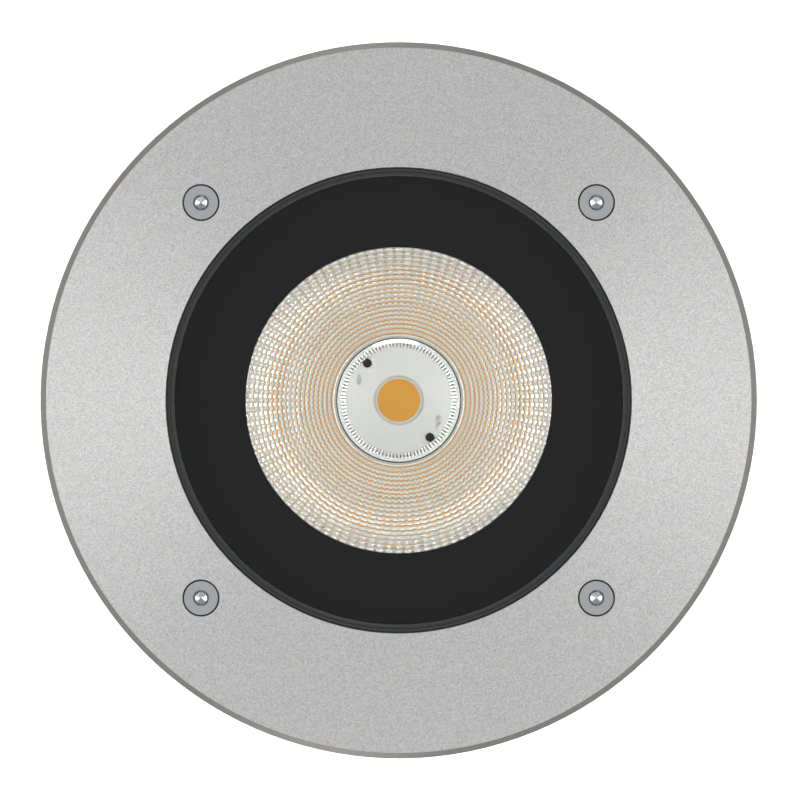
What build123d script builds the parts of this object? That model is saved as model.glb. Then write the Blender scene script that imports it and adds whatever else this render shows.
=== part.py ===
"""Round in-ground well light with an aimable optic, in millimetres.

The light stands on its foot with the lens facing +Z. The origin is the centre of the foot's standing
face, so every height below is measured up from the ground bed. X runs through the two tilt pivots.

From the top it comes apart as: trim ring with four countersunk screws, stepped glass with a fired black
border in its gasket, the aimable optic (a swivel ring on four brackets, and a tilting frame that carries
reflector, light source and heat sink), the gear tray, and the gear chamber with driver, terminal block,
cable gland and breather. Three castings hold it all: the flange casting that the cover is screwed to, the
barrel around the optic, and the gear case that is bolted up under the barrel's shoulder. Rings of rubber
seal both joints.
"""

from build123d import *

import os
from math import cos, radians, sin

# ---------------------------------------------------------------- shared fits
thread_slack = 0.05        # radial, a screw in its tapped hole
hole_slack = 0.25          # radial, a screw in its clearance hole
turning_gap = 0.05         # radial, a pin that turns in its hole
part_gap = 0.20            # between pieces that lie close without bearing on each other
swing_clearance = 3.0      # left free around the tilting optic at its limits
over = 1.0                 # how far a cutting shape runs past the face it cuts
drill_spare = 2.0          # depth of a cover screw's hole beyond its tip

# ---------------------------------------------------------------- M4 button-head screws used throughout
m4_d = 4.0
m4_head_d = 7.0
m4_head_h = 2.0
m4_socket_af = 2.5
cap_bevel_share = 0.25     # bevel of a screw head's rim, as a share of its height
cap_socket_floor = 0.35    # what is left under a head's socket, as a share of its height

# ---------------------------------------------------------------- trim ring
ring_d = 250.0
ring_t = 8.0
ring_edge_bevel = 2.0
ring_foot_bevel = 0.5
ring_bore_d = 162.0
ring_bore_bevel = 0.35
groove_w = 1.5             # drip groove under the ring, outside the housing flange
groove_depth = 1.0
groove_gap = 4.0
ring_lip_t = 4.5           # what is left of the ring above the gasket pocket

# ---------------------------------------------------------------- cover screws, countersunk M6
cover_screw_count = 4
cover_screw_first_angle = 45.0
cover_screw_pcd = 195.0
cover_screw_d = 6.0
cover_screw_length = 24.0
cover_head_d = 11.8
cover_head_land = 0.4
countersink_d = 13.0
cover_socket_af = 4.0
cover_socket_depth = 2.6
cover_socket_bevel_d = 5.6
cover_socket_drill = 0.8    # cone of the drill under the socket
cover_screw_tip = 0.6

# ---------------------------------------------------------------- glass, border and gasket
glass_flange_d = 175.0
glass_flange_t = 8.0
glass_bevel = 1.4
glass_ring_gap = 1.3       # radial, between the glass step and the ring bore
border_t = 0.2
border_overlap = 1.0       # how far the border reaches under the ring bore
aperture_d = 107.0
gasket_floor_t = 2.0
gasket_wall_t = 2.8
gasket_roof_t = 1.3
gasket_lip_sink = 1.2      # the visible lip ends this far under the ring face
gasket_floor_width = 8.0

# ---------------------------------------------------------------- housing
housing_flange_d = 218.0
housing_flange_t = 7.0
barrel_d = 188.0
barrel_wall = 4.0
ledge_bore_d = 160.0
ledge_t = 5.0
ledge_gusset_h = 9.0
drum_d = 144.0
drum_wall = 4.0
floor_t = 5.0
foot_h = 6.0
foot_width = 14.0
foot_edge = 1.0
foot_notch_w = 14.0
foot_notch_h = 4.0
foot_notch_count = 4
gear_chamber_h = 59.0
shoulder_t = 8.0
casting_round = 4.0
screw_boss_d = 16.0
screw_boss_h = 24.0
rib_count = 8
rib_first_angle = 22.5
rib_t = 2.6
rib_reach = 3.0
rib_slope = 6.0            # height over which a rib runs out at each end
rib_end_gap = 6.0          # barrel left bare below and above a rib

# ---------------------------------------------------------------- joint between flange casting and barrel
skirt_gap = 0.1            # radial, between the flange casting's skirt and the barrel
skirt_wall = 3.0
skirt_h = 14.0             # how far the skirt reaches down outside the barrel
flange_seal_w = 2.0
flange_seal_t = 1.2
flange_screw_count = 8
flange_screw_first_angle = 22.5
flange_screw_rise = 6.0    # screw axes above the skirt's lower edge
flange_screw_length = 6.0
flange_hole_spare = 0.2    # depth of the tapped hole beyond the screw

# ---------------------------------------------------------------- joint between barrel and gear case
case_flange_t = 6.0
case_flange_round = 3.0
case_land = 2.2            # flange left outside the screw heads
case_screw_count = 6
case_screw_first_angle = 0.0
case_screw_pcd = 161.0
case_screw_d = 5.0
case_screw_length = 12.0
case_head_d = 8.5
case_head_h = 4.0
case_socket_af = 4.0
case_hole_spare = 0.5      # depth of the tapped hole beyond the screw
case_seal_d = 149.0        # outer diameter of the O-ring
case_seal_w = 3.0
case_seal_t = 2.0

# ---------------------------------------------------------------- aiming: swivel and tilt
tilt_limit = 15.0
swivel_limit = 175.0
swivel_ring_width = 9.0
swivel_ring_t = 3.0
swivel_plane_drop = 18.0   # tilt pivot above the plane that the swivel ring turns on
trunnion_gap = 3.0         # trunnion pad to ear
ear_root = 5.0             # swivel ring outside the ears
ear_t = 3.0
ear_w = 24.0
pivot_d = 6.0
pivot_head_d = 10.0
pivot_head_h = 3.0
pivot_socket_af = 4.0
pivot_socket_depth = 2.1
pivot_thread_d = 5.0
pivot_thread_length = 7.0
pivot_drop = 4.0           # tilt pivot under the reflector rim
stop_pin_d = 3.0
stop_pin_radius = 8.6      # stop pin's distance from the pivot
stop_pin_root = 3.5
stop_slack = 0.1
stop_angle_slack = 0.2
stop_angle = 90.0          # where the bracket with the stop block stands, round Z
clip_angles = (0.0, 180.0, 270.0)
stop_tab_reach = 3.5
stop_clearance = 1.0       # radial, beside the turning ring and its tab
bracket_w = 26.0
bracket_overlap = 5.0      # how much of the swivel ring's width lies on a bracket
bracket_t = 3.0
bracket_gusset_h = 13.0
bracket_pad_proud = 1.4    # flat seat of a bracket, in from the barrel's inside
bracket_pad_h = 16.0
bracket_screw_spread = 16.0
bracket_screw_drop = 8.0   # screw axes below the swivel plane
bracket_seat_depth = 4.6   # bracket between its flat seat and the seat of the screw heads
bracket_screw_length = 10.0
bracket_bore_d = 7.6       # counterbore for a head
bracket_hole_spare = 1.0   # depth of the tapped hole beyond the screw
bracket_boss_h = 10.0
bracket_boss_reach = 3.5   # bosses behind the screws, out from the barrel's outside
clip_w = 12.0
clip_finger_t = 2.0
clip_bite = 2.0
clip_post_depth = 7.5
clip_screw_length = 10.0
clip_hole_depth = 8.0

# ---------------------------------------------------------------- optic frame
rim_bearing = 0.5          # how far the reflector rim reaches over the frame ring
frame_wall = 3.0
frame_ring_width = 4.0
frame_ring_h = 10.8
frame_foot_d = 92.0
frame_foot_bore_d = 66.0
frame_foot_t = 3.0
frame_window_w = 46.0
frame_window_count = 4
frame_window_margin = 6.0  # frame left above and below a window
frame_window_round = 6.0
trunnion_pad_d = 24.0
trunnion_pad_t = 4.0
trunnion_root = 1.0        # how deep pads and bosses start in the frame
trunnion_boss_d = 12.0

# ---------------------------------------------------------------- reflector
facet_columns = 100
facet_rows = 20
mouth_d = 111.0
throat_d = 48.0
focal_length = 10.1
reflector_wall = 1.5
reflector_rim_width = 3.0
reflector_rim_t = 1.2
collar_knee_d = 41.2
collar_bore_d = 37.4
collar_knee_rise = 2.0     # height of the collar's knee over its bore edge
skin_steps = 5

# ---------------------------------------------------------------- retainer over the reflector rim
retainer_edge = 1.5        # retainer stands back from the frame edge
retainer_bore_d = 112.0
retainer_t = 1.5
retainer_tab_count = 3
retainer_screw_d = 2.5
retainer_screw_length = 7.0
retainer_head_h = 1.5
retainer_head_d = 4.4
retainer_socket_af = 1.5
retainer_tab_d = 5.2
retainer_screw_shift = 0.1 # outward from the middle of the frame's top ring

# ---------------------------------------------------------------- light source
heat_sink_d = 96.0
heat_sink_base_t = 6.0
heat_sink_fin_h = 18.0
heat_sink_fin_t = 1.8
heat_sink_fin_pitch = 6.2
sink_screw_count = 4
sink_screw_pcd = 78.0
sink_screw_first_angle = 45.0
sink_screw_length = 7.0
sink_web = 1.0             # left under the heat sink's tapped holes
pad_side = 25.0
pad_t = 0.3
substrate_side = 24.0
substrate_t = 1.5
phosphor_d = 15.5
phosphor_t = 0.5
dam_width = 0.6
dam_rise = 0.1             # dam above the phosphor
holder_d = 50.0
holder_h = 3.3
holder_bore_d = 17.6
holder_bore_bevel = 0.5
holder_screw_pcd = 35.0
holder_screw_angle = 130.2
holder_screw_d = 2.0
holder_screw_length = 6.0
holder_head_d = 3.1
holder_head_h = 1.2
holder_socket_af = 1.3
holder_seat_t = 1.0        # web of the holder under each screw head
holder_boss_d = 7.2        # raised ring round each screw port, with a sloping flank
holder_boss_top_d = 5.6
holder_boss_h = 0.35
holder_port_d = 3.4
contact_radius = 16.0
contact_angle = 152.5
contact_slot_w = 1.4
contact_slot_length = 3.8
contact_bar_w = 1.2
contact_bar_length = 1.5
contact_sink = 0.15

# ---------------------------------------------------------------- gear tray
tray_gap = 6.0             # radial, between the tray and the barrel
tray_t = 1.5
tray_screw_count = 3
tray_screw_pcd = 158.0
tray_screw_length = 5.0
grommet_d = 12.0
grommet_bore_d = 7.0
grommet_flange_d = 16.0
grommet_flange_t = 1.2
tray_vent_count = 8
tray_vent_d = 8.0
tray_vent_pcd = 90.0

# ---------------------------------------------------------------- driver and terminal block
driver_length = 98.0
driver_width = 42.0
driver_h = 28.0
driver_centre_y = 15.0
driver_corner = 4.0
driver_bevel = 1.0
driver_ear_length = 8.0
driver_ear_t = 3.0
driver_screw_length = 6.5
terminal_ways = 3
terminal_pitch = 11.0
terminal_width = 17.0
terminal_h = 15.0
terminal_bevel = 2.5
terminal_port_z = 5.4
terminal_slot_w = 0.8
terminal_slot_depth = 0.8
terminal_centre_y = -28.0
terminal_port_d = 4.5
terminal_screw_d = 4.0
terminal_screw_h = 2.5
terminal_well_d = 5.0
earth_boss_d = 11.0
earth_boss_h = 5.0
earth_screw_length = 7.0
earth_hole_depth = 8.0
earth_x = -40.0
earth_y = -32.0

# ---------------------------------------------------------------- cable gland M20 and breather M12
entry_height = 25.0        # gland and breather axes above the chamber floor
entry_proud = 5.0          # flat outer seats of both bosses outside the drum
entry_inset = 3.0          # flat inner seats inside the drum wall
gland_boss_d = 34.0
gland_thread_d = 20.0
gland_bore_d = 14.2
gland_hex_af = 24.0
gland_hex_t = 7.0
gland_outer_thread_d = 19.0
gland_outer_thread_length = 10.0
gland_thread_spare = 1.0   # body beyond the locknut
gland_washer_t = 1.5
gland_washer_d = 26.0
gland_nut_length = 17.0
gland_nut_d = 25.0
gland_nut_af = 23.5
gland_nut_start = 1.0      # gap between the body's hexagon and the nut
gland_mouth_d = 12.6
gland_nose_wall = 3.0      # nut beyond the seal
gland_nose_round = 6.0     # length of the nut's tapered nose
gland_nose_inset = 4.0     # radial, from the nut's side to the end of its nose
seal_d = 14.0
cable_bore_d = 10.0
seal_length = 13.0
locknut_af = 27.0
locknut_t = 5.0
breather_angle = 300.0
breather_boss_d = 22.0
breather_thread_d = 12.0
breather_thread_spare = 3.0
breather_hex_af = 17.0
breather_hex_t = 3.5
breather_cap_d = 15.0
breather_cap_t = 5.0
breather_slot_count = 6
breather_slot_w = 2.0
breather_slot_h = 2.0      # also the middle of the slots above the hexagon
breather_vent_rise = 3.0
breather_cap_bevel = 1.0
breather_vent_d = 5.0
breather_seal_t = 1.2
breather_seal_d = 16.0

# ---------------------------------------------------------------- radii worked out
ring_r = ring_d / 2
ring_bore_r = ring_bore_d / 2
groove_r = housing_flange_d / 2 + groove_gap
glass_step_r = ring_bore_r - glass_ring_gap
glass_flange_r = glass_flange_d / 2
pocket_r = glass_flange_r + part_gap + gasket_wall_t + part_gap
barrel_r = barrel_d / 2
barrel_inner_r = barrel_r - barrel_wall
bracket_pad_x = barrel_inner_r - bracket_pad_proud           # seat of a bracket, from the centre
bracket_screw_seat = bracket_pad_x - bracket_seat_depth
bracket_boss_end = barrel_r + bracket_boss_reach
drum_r = drum_d / 2
drum_inner_r = drum_r - drum_wall
skirt_inner_r = barrel_r + skirt_gap
skirt_r = skirt_inner_r + skirt_wall
flange_seal_r = barrel_r - (barrel_wall - flange_seal_w) / 2
flange_seal_inner_r = flange_seal_r - flange_seal_w
tray_r = barrel_inner_r - tray_gap
case_screw_r = case_screw_pcd / 2
case_flange_r = case_screw_r + case_head_d / 2 + case_land
case_seal_r = case_seal_d / 2
case_seal_inner_r = case_seal_r - case_seal_w
mouth_r = mouth_d / 2
rim_r = mouth_r + reflector_rim_width
frame_r = rim_r - rim_bearing + frame_ring_width
retainer_r = frame_r - retainer_edge
trunnion_face = frame_r - trunnion_root + trunnion_pad_t   # outer face of each trunnion pad
ear_face = trunnion_face + trunnion_gap                    # inner face of each ear
entry_seat = drum_r + entry_proud
entry_inner_seat = drum_inner_r - entry_inset
gland_thread_end = entry_inner_seat - locknut_t - gland_thread_spare
breather_inner_end = entry_inner_seat - breather_thread_spare
swivel_r = ear_face + ear_t + ear_root
swivel_inner_r = swivel_r - swivel_ring_width
throat_r = throat_d / 2
heat_sink_r = heat_sink_d / 2
cover_screw_r = cover_screw_pcd / 2

# ---------------------------------------------------------------- heights worked out, from the foot up
floor_z = foot_h + floor_t
shoulder_z = floor_z + gear_chamber_h
shoulder_low_z = shoulder_z - shoulder_t
case_flange_low_z = shoulder_low_z - case_flange_t
tray_z = shoulder_z + tray_t
rise_of_rim = mouth_r**2 / (4 * focal_length)              # rim above the parabola's vertex
source_h = pad_t + substrate_t + phosphor_t
optic_depth = (                                            # heat sink's lower face below the tilt pivot
    rise_of_rim - focal_length + source_h + heat_sink_base_t + heat_sink_fin_h - pivot_drop
)
tilt = radians(tilt_limit)
room_below = heat_sink_r * sin(tilt) - optic_depth * (1 - cos(tilt)) + swing_clearance
retainer_top = pivot_drop + retainer_t + retainer_head_h   # retainer's screws above the tilt pivot
room_above = frame_r * sin(tilt) + retainer_top * cos(tilt) - pivot_drop + swing_clearance
sink_low_z = tray_z + room_below
sink_base_z = sink_low_z + heat_sink_fin_h
sink_z = sink_base_z + heat_sink_base_t                    # face that carries the light source
source_z = sink_z + source_h                               # the reflector's focus
vertex_z = source_z - focal_length
rim_z = vertex_z + rise_of_rim
holder_z = sink_z + holder_h
pivot_z = rim_z - pivot_drop
swivel_z = pivot_z - swivel_plane_drop
glass_low_z = rim_z + room_above
ledge_z = glass_low_z - gasket_floor_t
barrel_top_z = ledge_z - ledge_t - ledge_gusset_h
skirt_low_z = barrel_top_z - skirt_h
glass_flange_z = glass_low_z + glass_flange_t
pocket_z = glass_flange_z + gasket_roof_t + part_gap
ring_top_z = pocket_z + ring_lip_t
ring_low_z = ring_top_z - ring_t
entry_z = floor_z + entry_height


# ---------------------------------------------------------------- helpers
def spun(*outline):
    """Solid of revolution about Z, from a closed outline of (radius, height) points."""
    return revolve(Plane.XZ * make_face(Polyline(*outline, close=True)), Axis.Z)


def disc(radius, low, high):
    """Upright cylinder on the Z axis between two heights."""
    return Pos(0, 0, (low + high) / 2) * Cylinder(radius, high - low)


def hoop(outer, inner, low, high):
    """Upright ring on the Z axis between two heights."""
    return spun((inner, low), (outer, low), (outer, high), (inner, high))


def stud(radius, low, high, angle, reach):
    """Upright cylinder between two heights, at an angle round Z and a distance from it."""
    return Rot(0, 0, angle) * Pos(reach, 0, 0) * disc(radius, low, high)


def hexagon(across_flats, low, high):
    """Upright hexagonal prism on the Z axis between two heights."""
    flat = RegularPolygon(across_flats / 2, 6, major_radius=False)
    return Pos(0, 0, low) * extrude(flat, high - low)


def steps_round(count, first=0.0):
    """Evenly spaced angles of a full turn, in degrees."""
    return [first + 360.0 / count * step for step in range(count)]


def copies_round(shape, angles):
    """One copy of a shape at each angle round Z."""
    return [Rot(0, 0, angle) * shape for angle in angles]


def outward(angle, height):
    """Placement whose Z axis points out from the gear case at an angle, at a height."""
    return Pos(0, 0, height) * Rot(0, 0, angle) * Rot(0, 90, 0)


def group(solids):
    """Several separate solids as one node."""
    return Compound([solid for shape in solids for solid in shape.solids()])


def cap_screw(diameter, length, head_d, head_h, socket_af):
    """Round-headed socket screw. Its head's seat is at height 0 and the shank runs down."""
    head = disc(head_d / 2, 0, head_h)
    head = chamfer(head.edges().group_by(Axis.Z)[-1], head_h * cap_bevel_share)
    socket = hexagon(socket_af, head_h * cap_socket_floor, head_h)
    return head - socket + disc(diameter / 2, -length, 0)


def m4_screw(length):
    """M4 button-head screw, with its head's seat at height 0."""
    return cap_screw(m4_d, length, m4_head_d, m4_head_h, m4_socket_af)


# ---------------------------------------------------------------- cover: ring, screws, glass, gasket
def make_trim_ring():
    """Face ring: bevelled rim, gasket pocket underneath, a drip groove and four countersunk holes."""
    body = spun(
        (pocket_r, ring_low_z),
        (groove_r, ring_low_z),
        (groove_r, ring_low_z + groove_depth),
        (groove_r + groove_w, ring_low_z + groove_depth),
        (groove_r + groove_w, ring_low_z),
        (ring_r - ring_foot_bevel, ring_low_z),
        (ring_r, ring_low_z + ring_foot_bevel),
        (ring_r, ring_top_z - ring_edge_bevel),
        (ring_r - ring_edge_bevel, ring_top_z),
        (ring_bore_r + ring_bore_bevel, ring_top_z),
        (ring_bore_r, ring_top_z - ring_bore_bevel),
        (ring_bore_r, pocket_z),
        (pocket_r, pocket_z),
    )
    hole_r = cover_screw_d / 2 + hole_slack
    sink_r = countersink_d / 2
    hole = spun(
        (0, ring_low_z - over),
        (hole_r, ring_low_z - over),
        (hole_r, ring_top_z - (sink_r - hole_r)),
        (sink_r, ring_top_z),
        (sink_r, ring_top_z + over),
        (0, ring_top_z + over),
    )
    angles = steps_round(cover_screw_count, cover_screw_first_angle)
    return body - copies_round(Pos(cover_screw_r, 0, 0) * hole, angles)


def cover_head_z():
    """Height of a cover screw's flat top, where its cone bears on the countersink."""
    return ring_top_z - (countersink_d - cover_head_d) / 2 + cover_head_land


def make_cover_screws():
    """Countersunk hexagon-socket screws that clamp the ring onto the flange casting."""
    top = cover_head_z()
    head_r = cover_head_d / 2
    shank_r = cover_screw_d / 2
    cone_low = top - cover_head_land - (head_r - shank_r)
    tip = top - cover_screw_length
    screw = spun(
        (0, tip),
        (shank_r - cover_screw_tip, tip),
        (shank_r, tip + cover_screw_tip),
        (shank_r, cone_low),
        (head_r, top - cover_head_land),
        (head_r, top),
        (0, top),
    )
    mouth_r = cover_socket_bevel_d / 2
    flat_r = cover_socket_af / 2
    mouth = spun((0, top - (mouth_r - flat_r)), (flat_r, top - (mouth_r - flat_r)), (mouth_r, top), (0, top))
    floor = top - cover_socket_depth
    drill_tip = spun((0, floor - cover_socket_drill), (flat_r, floor), (0, floor))
    screw = screw - hexagon(cover_socket_af, floor, top) - mouth - drill_tip
    angles = steps_round(cover_screw_count, cover_screw_first_angle)
    return group(copies_round(Pos(cover_screw_r, 0, 0) * screw, angles))


def make_glass():
    """Stepped safety glass: the step is flush with the ring, the flange is held under its lip."""
    return spun(
        (0, glass_low_z),
        (glass_flange_r, glass_low_z),
        (glass_flange_r, glass_flange_z),
        (glass_step_r, glass_flange_z),
        (glass_step_r, ring_top_z - glass_bevel),
        (glass_step_r - glass_bevel, ring_top_z),
        (0, ring_top_z),
    )


def make_glass_border():
    """Fired black border on the underside of the glass, with the clear aperture in its middle."""
    return hoop(ring_bore_r + border_overlap, aperture_d / 2, glass_low_z - border_t, glass_low_z)


def make_gasket():
    """Silicone gasket: channel round the glass flange, with a lip up the gap beside the ring bore."""
    outer_r = pocket_r - part_gap
    wall_r = glass_flange_r + part_gap
    lip_outer_r = ring_bore_r - part_gap
    lip_inner_r = glass_step_r + part_gap
    floor_r = outer_r - gasket_floor_width
    lip_z = ring_top_z - gasket_lip_sink
    roof_z = glass_flange_z + gasket_roof_t
    return spun(
        (floor_r, ledge_z),
        (outer_r, ledge_z),
        (outer_r, roof_z),
        (lip_outer_r, roof_z),
        (lip_outer_r, lip_z),
        (lip_inner_r, lip_z),
        (lip_inner_r, glass_flange_z),
        (wall_r, glass_flange_z),
        (wall_r, glass_low_z),
        (floor_r, glass_low_z),
    )


# ---------------------------------------------------------------- flange casting
def flange_can():
    """Flange and glass ledge on top, a skirt round the barrel's upper end, and the seal's groove."""
    flange_low_z = ring_low_z - housing_flange_t
    ledge_r = ledge_bore_d / 2
    groove_top_z = barrel_top_z + flange_seal_t
    return spun(
        (barrel_inner_r, barrel_top_z),
        (flange_seal_inner_r - part_gap, barrel_top_z),
        (flange_seal_inner_r - part_gap, groove_top_z),
        (flange_seal_r + part_gap, groove_top_z),
        (flange_seal_r + part_gap, barrel_top_z),
        (skirt_inner_r, barrel_top_z),
        (skirt_inner_r, skirt_low_z),
        (skirt_r, skirt_low_z),
        (skirt_r, flange_low_z - casting_round),
        (skirt_r + casting_round, flange_low_z),
        (housing_flange_d / 2, flange_low_z),
        (housing_flange_d / 2, ring_low_z),
        (pocket_r, ring_low_z),
        (pocket_r, ledge_z),
        (ledge_r, ledge_z),
        (ledge_r, ledge_z - ledge_t),
    )


def screw_bosses():
    """Bosses under the flange that take the cover screws, tapered like a casting."""
    top = ring_low_z - housing_flange_t / 2
    low = top - screw_boss_h
    boss_r = screw_boss_d / 2
    boss = Pos(cover_screw_r, 0, 0) * spun((0, low - boss_r), (boss_r, low), (boss_r, top), (0, top))
    outside = boss - disc(skirt_inner_r, low - boss_r, top)
    return copies_round(outside, steps_round(cover_screw_count, cover_screw_first_angle))


def flange_screw_row(shape):
    """A copy of a screw-like shape at each flange screw, its head's seat turned outward on the skirt."""
    place = Pos(skirt_r, 0, skirt_low_z + flange_screw_rise) * Rot(0, 90, 0)
    return copies_round(place * shape, steps_round(flange_screw_count, flange_screw_first_angle))


def make_housing_flange():
    """Die-cast flange that the cover is screwed to, fitted over the barrel's upper end."""
    cover_hole_low = cover_head_z() - cover_screw_length - drill_spare
    cover_hole = stud(cover_screw_d / 2 + thread_slack, cover_hole_low, ring_low_z + over, 0, cover_screw_r)
    cuts = copies_round(cover_hole, steps_round(cover_screw_count, cover_screw_first_angle))
    cuts += flange_screw_row(disc(m4_d / 2 + hole_slack, -skirt_wall - over, over))
    return flange_can() + screw_bosses() - cuts


def make_flange_seal():
    """Rubber ring in the flange casting's groove, on the barrel's upper end."""
    return hoop(flange_seal_r, flange_seal_inner_r, barrel_top_z, barrel_top_z + flange_seal_t)


def make_flange_screws():
    """Screws round the skirt that hold the flange casting on the barrel."""
    return group(flange_screw_row(m4_screw(flange_screw_length)))


# ---------------------------------------------------------------- barrel
def barrel_can():
    """Barrel around the optic, with the shoulder and the way into the gear case at its lower end."""
    return spun(
        (drum_inner_r, shoulder_low_z),
        (barrel_r - casting_round, shoulder_low_z),
        (barrel_r, shoulder_low_z + casting_round),
        (barrel_r, barrel_top_z),
        (barrel_inner_r, barrel_top_z),
        (barrel_inner_r, shoulder_z),
        (drum_inner_r, shoulder_z),
    )


def barrel_ribs():
    """Shallow upright ribs that stiffen the barrel, running out at both ends."""
    root_r = barrel_r - barrel_wall / 2
    tip_r = barrel_r + rib_reach
    low = shoulder_z + rib_end_gap
    high = skirt_low_z - rib_end_gap
    outline = Polyline(
        (root_r, low), (barrel_r, low), (tip_r, low + rib_slope),
        (tip_r, high - rib_slope), (barrel_r, high), (root_r, high), close=True,
    )
    rib = extrude(Plane.XZ * make_face(outline), rib_t / 2, both=True)
    return copies_round(rib, steps_round(rib_count, rib_first_angle))


def ring_sector(inner, outer, low, high, half_angle):
    """Block between two radii and two heights that spans an angle each side of +X."""
    whole = hoop(outer, inner, low, high)
    far = outer * 2
    wedge = Polyline(
        (0, 0), (far * cos(radians(half_angle)), -far * sin(radians(half_angle))),
        (far * cos(radians(half_angle)), far * sin(radians(half_angle))), close=True,
    )
    return whole & Pos(0, 0, low) * extrude(make_face(wedge), high - low)


def stop_half_angle():
    """Half the width of the swivel's stop block and of the ring's tab, as an angle."""
    return (180.0 - swivel_limit) / 2 - stop_angle_slack / 2


def clip_post_r():
    """Inner face of a clip's post, just outside the path of the ring's stop tab."""
    return swivel_r + stop_tab_reach + stop_clearance


def clip_screw_r():
    """Distance of a clip's screw from the centre."""
    return clip_post_r() + clip_post_depth / 2


def bracket_angles():
    """Where the swivel brackets stand, round Z."""
    return (*clip_angles, stop_angle)


def bracket_seats():
    """Flat pads inside the barrel for the brackets, each with a boss behind it for the screws."""
    mid_wall = barrel_inner_r + barrel_wall / 2
    pad_depth = mid_wall - bracket_pad_x
    pad = Pos(bracket_pad_x + pad_depth / 2, 0, swivel_z - bracket_pad_h / 2) * Box(
        pad_depth, bracket_w, bracket_pad_h
    )
    flat = Plane.YZ * SlotCenterToCenter(bracket_screw_spread, bracket_boss_h)
    boss = Pos(mid_wall, 0, swivel_z - bracket_screw_drop) * extrude(flat, bracket_boss_end - mid_wall)
    return copies_round(pad + boss, bracket_angles())


def bracket_screw_row(shape):
    """Both copies of a screw-like shape on one bracket, its head's seat turned to face the centre."""
    turned = Rot(0, -90, 0) * shape
    half = bracket_screw_spread / 2
    z = swivel_z - bracket_screw_drop
    return [Pos(bracket_screw_seat, side * half, z) * turned for side in (-1, 1)]


def make_housing():
    """Die-cast barrel with ribs, seats for the swivel brackets and the shoulder for the gear case."""
    tapped_r = m4_d / 2 + thread_slack
    cuts = flange_screw_row(disc(tapped_r, -flange_screw_length - flange_hole_spare, over))
    bracket_hole = disc(tapped_r, -bracket_screw_length - bracket_hole_spare, 0)
    for hole in bracket_screw_row(bracket_hole):
        cuts += copies_round(hole, bracket_angles())
    tray_hole_low = shoulder_z - tray_screw_length + tray_t
    tray_hole = stud(tapped_r, tray_hole_low, shoulder_z + over, 0, tray_screw_pcd / 2)
    cuts += copies_round(tray_hole, steps_round(tray_screw_count, stop_angle))
    case_hole_top = case_flange_low_z + case_screw_length + case_hole_spare
    case_hole = stud(
        case_screw_d / 2 + thread_slack, shoulder_low_z - over, case_hole_top, 0, case_screw_r
    )
    cuts += copies_round(case_hole, steps_round(case_screw_count, case_screw_first_angle))
    return barrel_can() + barrel_ribs() + bracket_seats() - cuts


# ---------------------------------------------------------------- gear case
def case_can():
    """Drum for the gear, with a standing foot, and a grooved flange that bolts up under the shoulder."""
    groove_low_z = shoulder_low_z - case_seal_t
    return spun(
        (0, foot_h),
        (drum_r - foot_width, foot_h),
        (drum_r - foot_width, 0),
        (drum_r - foot_edge, 0),
        (drum_r, foot_edge),
        (drum_r, case_flange_low_z - case_flange_round),
        (drum_r + case_flange_round, case_flange_low_z),
        (case_flange_r, case_flange_low_z),
        (case_flange_r, shoulder_low_z),
        (case_seal_r + part_gap, shoulder_low_z),
        (case_seal_r + part_gap, groove_low_z),
        (case_seal_inner_r - part_gap, groove_low_z),
        (case_seal_inner_r - part_gap, shoulder_low_z),
        (drum_inner_r, shoulder_low_z),
        (drum_inner_r, floor_z),
        (0, floor_z),
    )


def make_gear_case():
    """Die-cast gear case with its foot, earth boss, and the flat seats for gland and breather."""
    entry_depth = entry_seat - entry_inner_seat
    gland_seat = outward(-90, entry_z) * Pos(0, 0, entry_inner_seat)
    breather_seat = outward(breather_angle, entry_z) * Pos(0, 0, entry_inner_seat)
    body = case_can() + [
        gland_seat * disc(gland_boss_d / 2, 0, entry_depth),
        breather_seat * disc(breather_boss_d / 2, 0, entry_depth),
        Pos(earth_x, earth_y, 0) * disc(earth_boss_d / 2, floor_z - over, floor_z + earth_boss_h),
    ]
    tapped_r = m4_d / 2 + thread_slack
    driver_hole = disc(tapped_r, floor_z - driver_screw_length + driver_ear_t, floor_z + over)
    cuts = [Pos(driver_screw_x(side), driver_centre_y, 0) * driver_hole for side in (-1, 1)]
    earth_top = floor_z + earth_boss_h
    cuts.append(Pos(earth_x, earth_y, 0) * disc(tapped_r, earth_top - earth_hole_depth, earth_top + over))
    cuts.append(outward(-90, entry_z) * disc(
        gland_thread_d / 2 + thread_slack, gland_thread_end, entry_seat + over
    ))
    cuts.append(outward(breather_angle, entry_z) * disc(
        breather_thread_d / 2 + thread_slack, breather_inner_end, entry_seat + over
    ))
    notch = Pos(drum_r, 0, foot_notch_h / 2) * Box(foot_width * 3, foot_notch_w, foot_notch_h)
    cuts += copies_round(notch, steps_round(foot_notch_count, stop_angle / 2))
    hole_r = case_screw_d / 2 + hole_slack
    hole = stud(hole_r, case_flange_low_z - over, shoulder_low_z + over, 0, case_screw_r)
    cuts += copies_round(hole, steps_round(case_screw_count, case_screw_first_angle))
    return body - cuts


def make_case_seal():
    """O-ring in the gear case's flange groove."""
    return hoop(case_seal_r, case_seal_inner_r, shoulder_low_z - case_seal_t, shoulder_low_z)


def make_case_screws():
    """Screws from below that hold the gear case up under the barrel's shoulder."""
    screw = cap_screw(case_screw_d, case_screw_length, case_head_d, case_head_h, case_socket_af)
    hung = Pos(case_screw_r, 0, case_flange_low_z) * Rot(180, 0, 0) * screw
    return group(copies_round(hung, steps_round(case_screw_count, case_screw_first_angle)))


# ---------------------------------------------------------------- gear chamber
def driver_screw_x(side):
    """X of a driver mounting screw, on one side or the other."""
    return side * (driver_length / 2 + driver_ear_length / 2)


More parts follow.
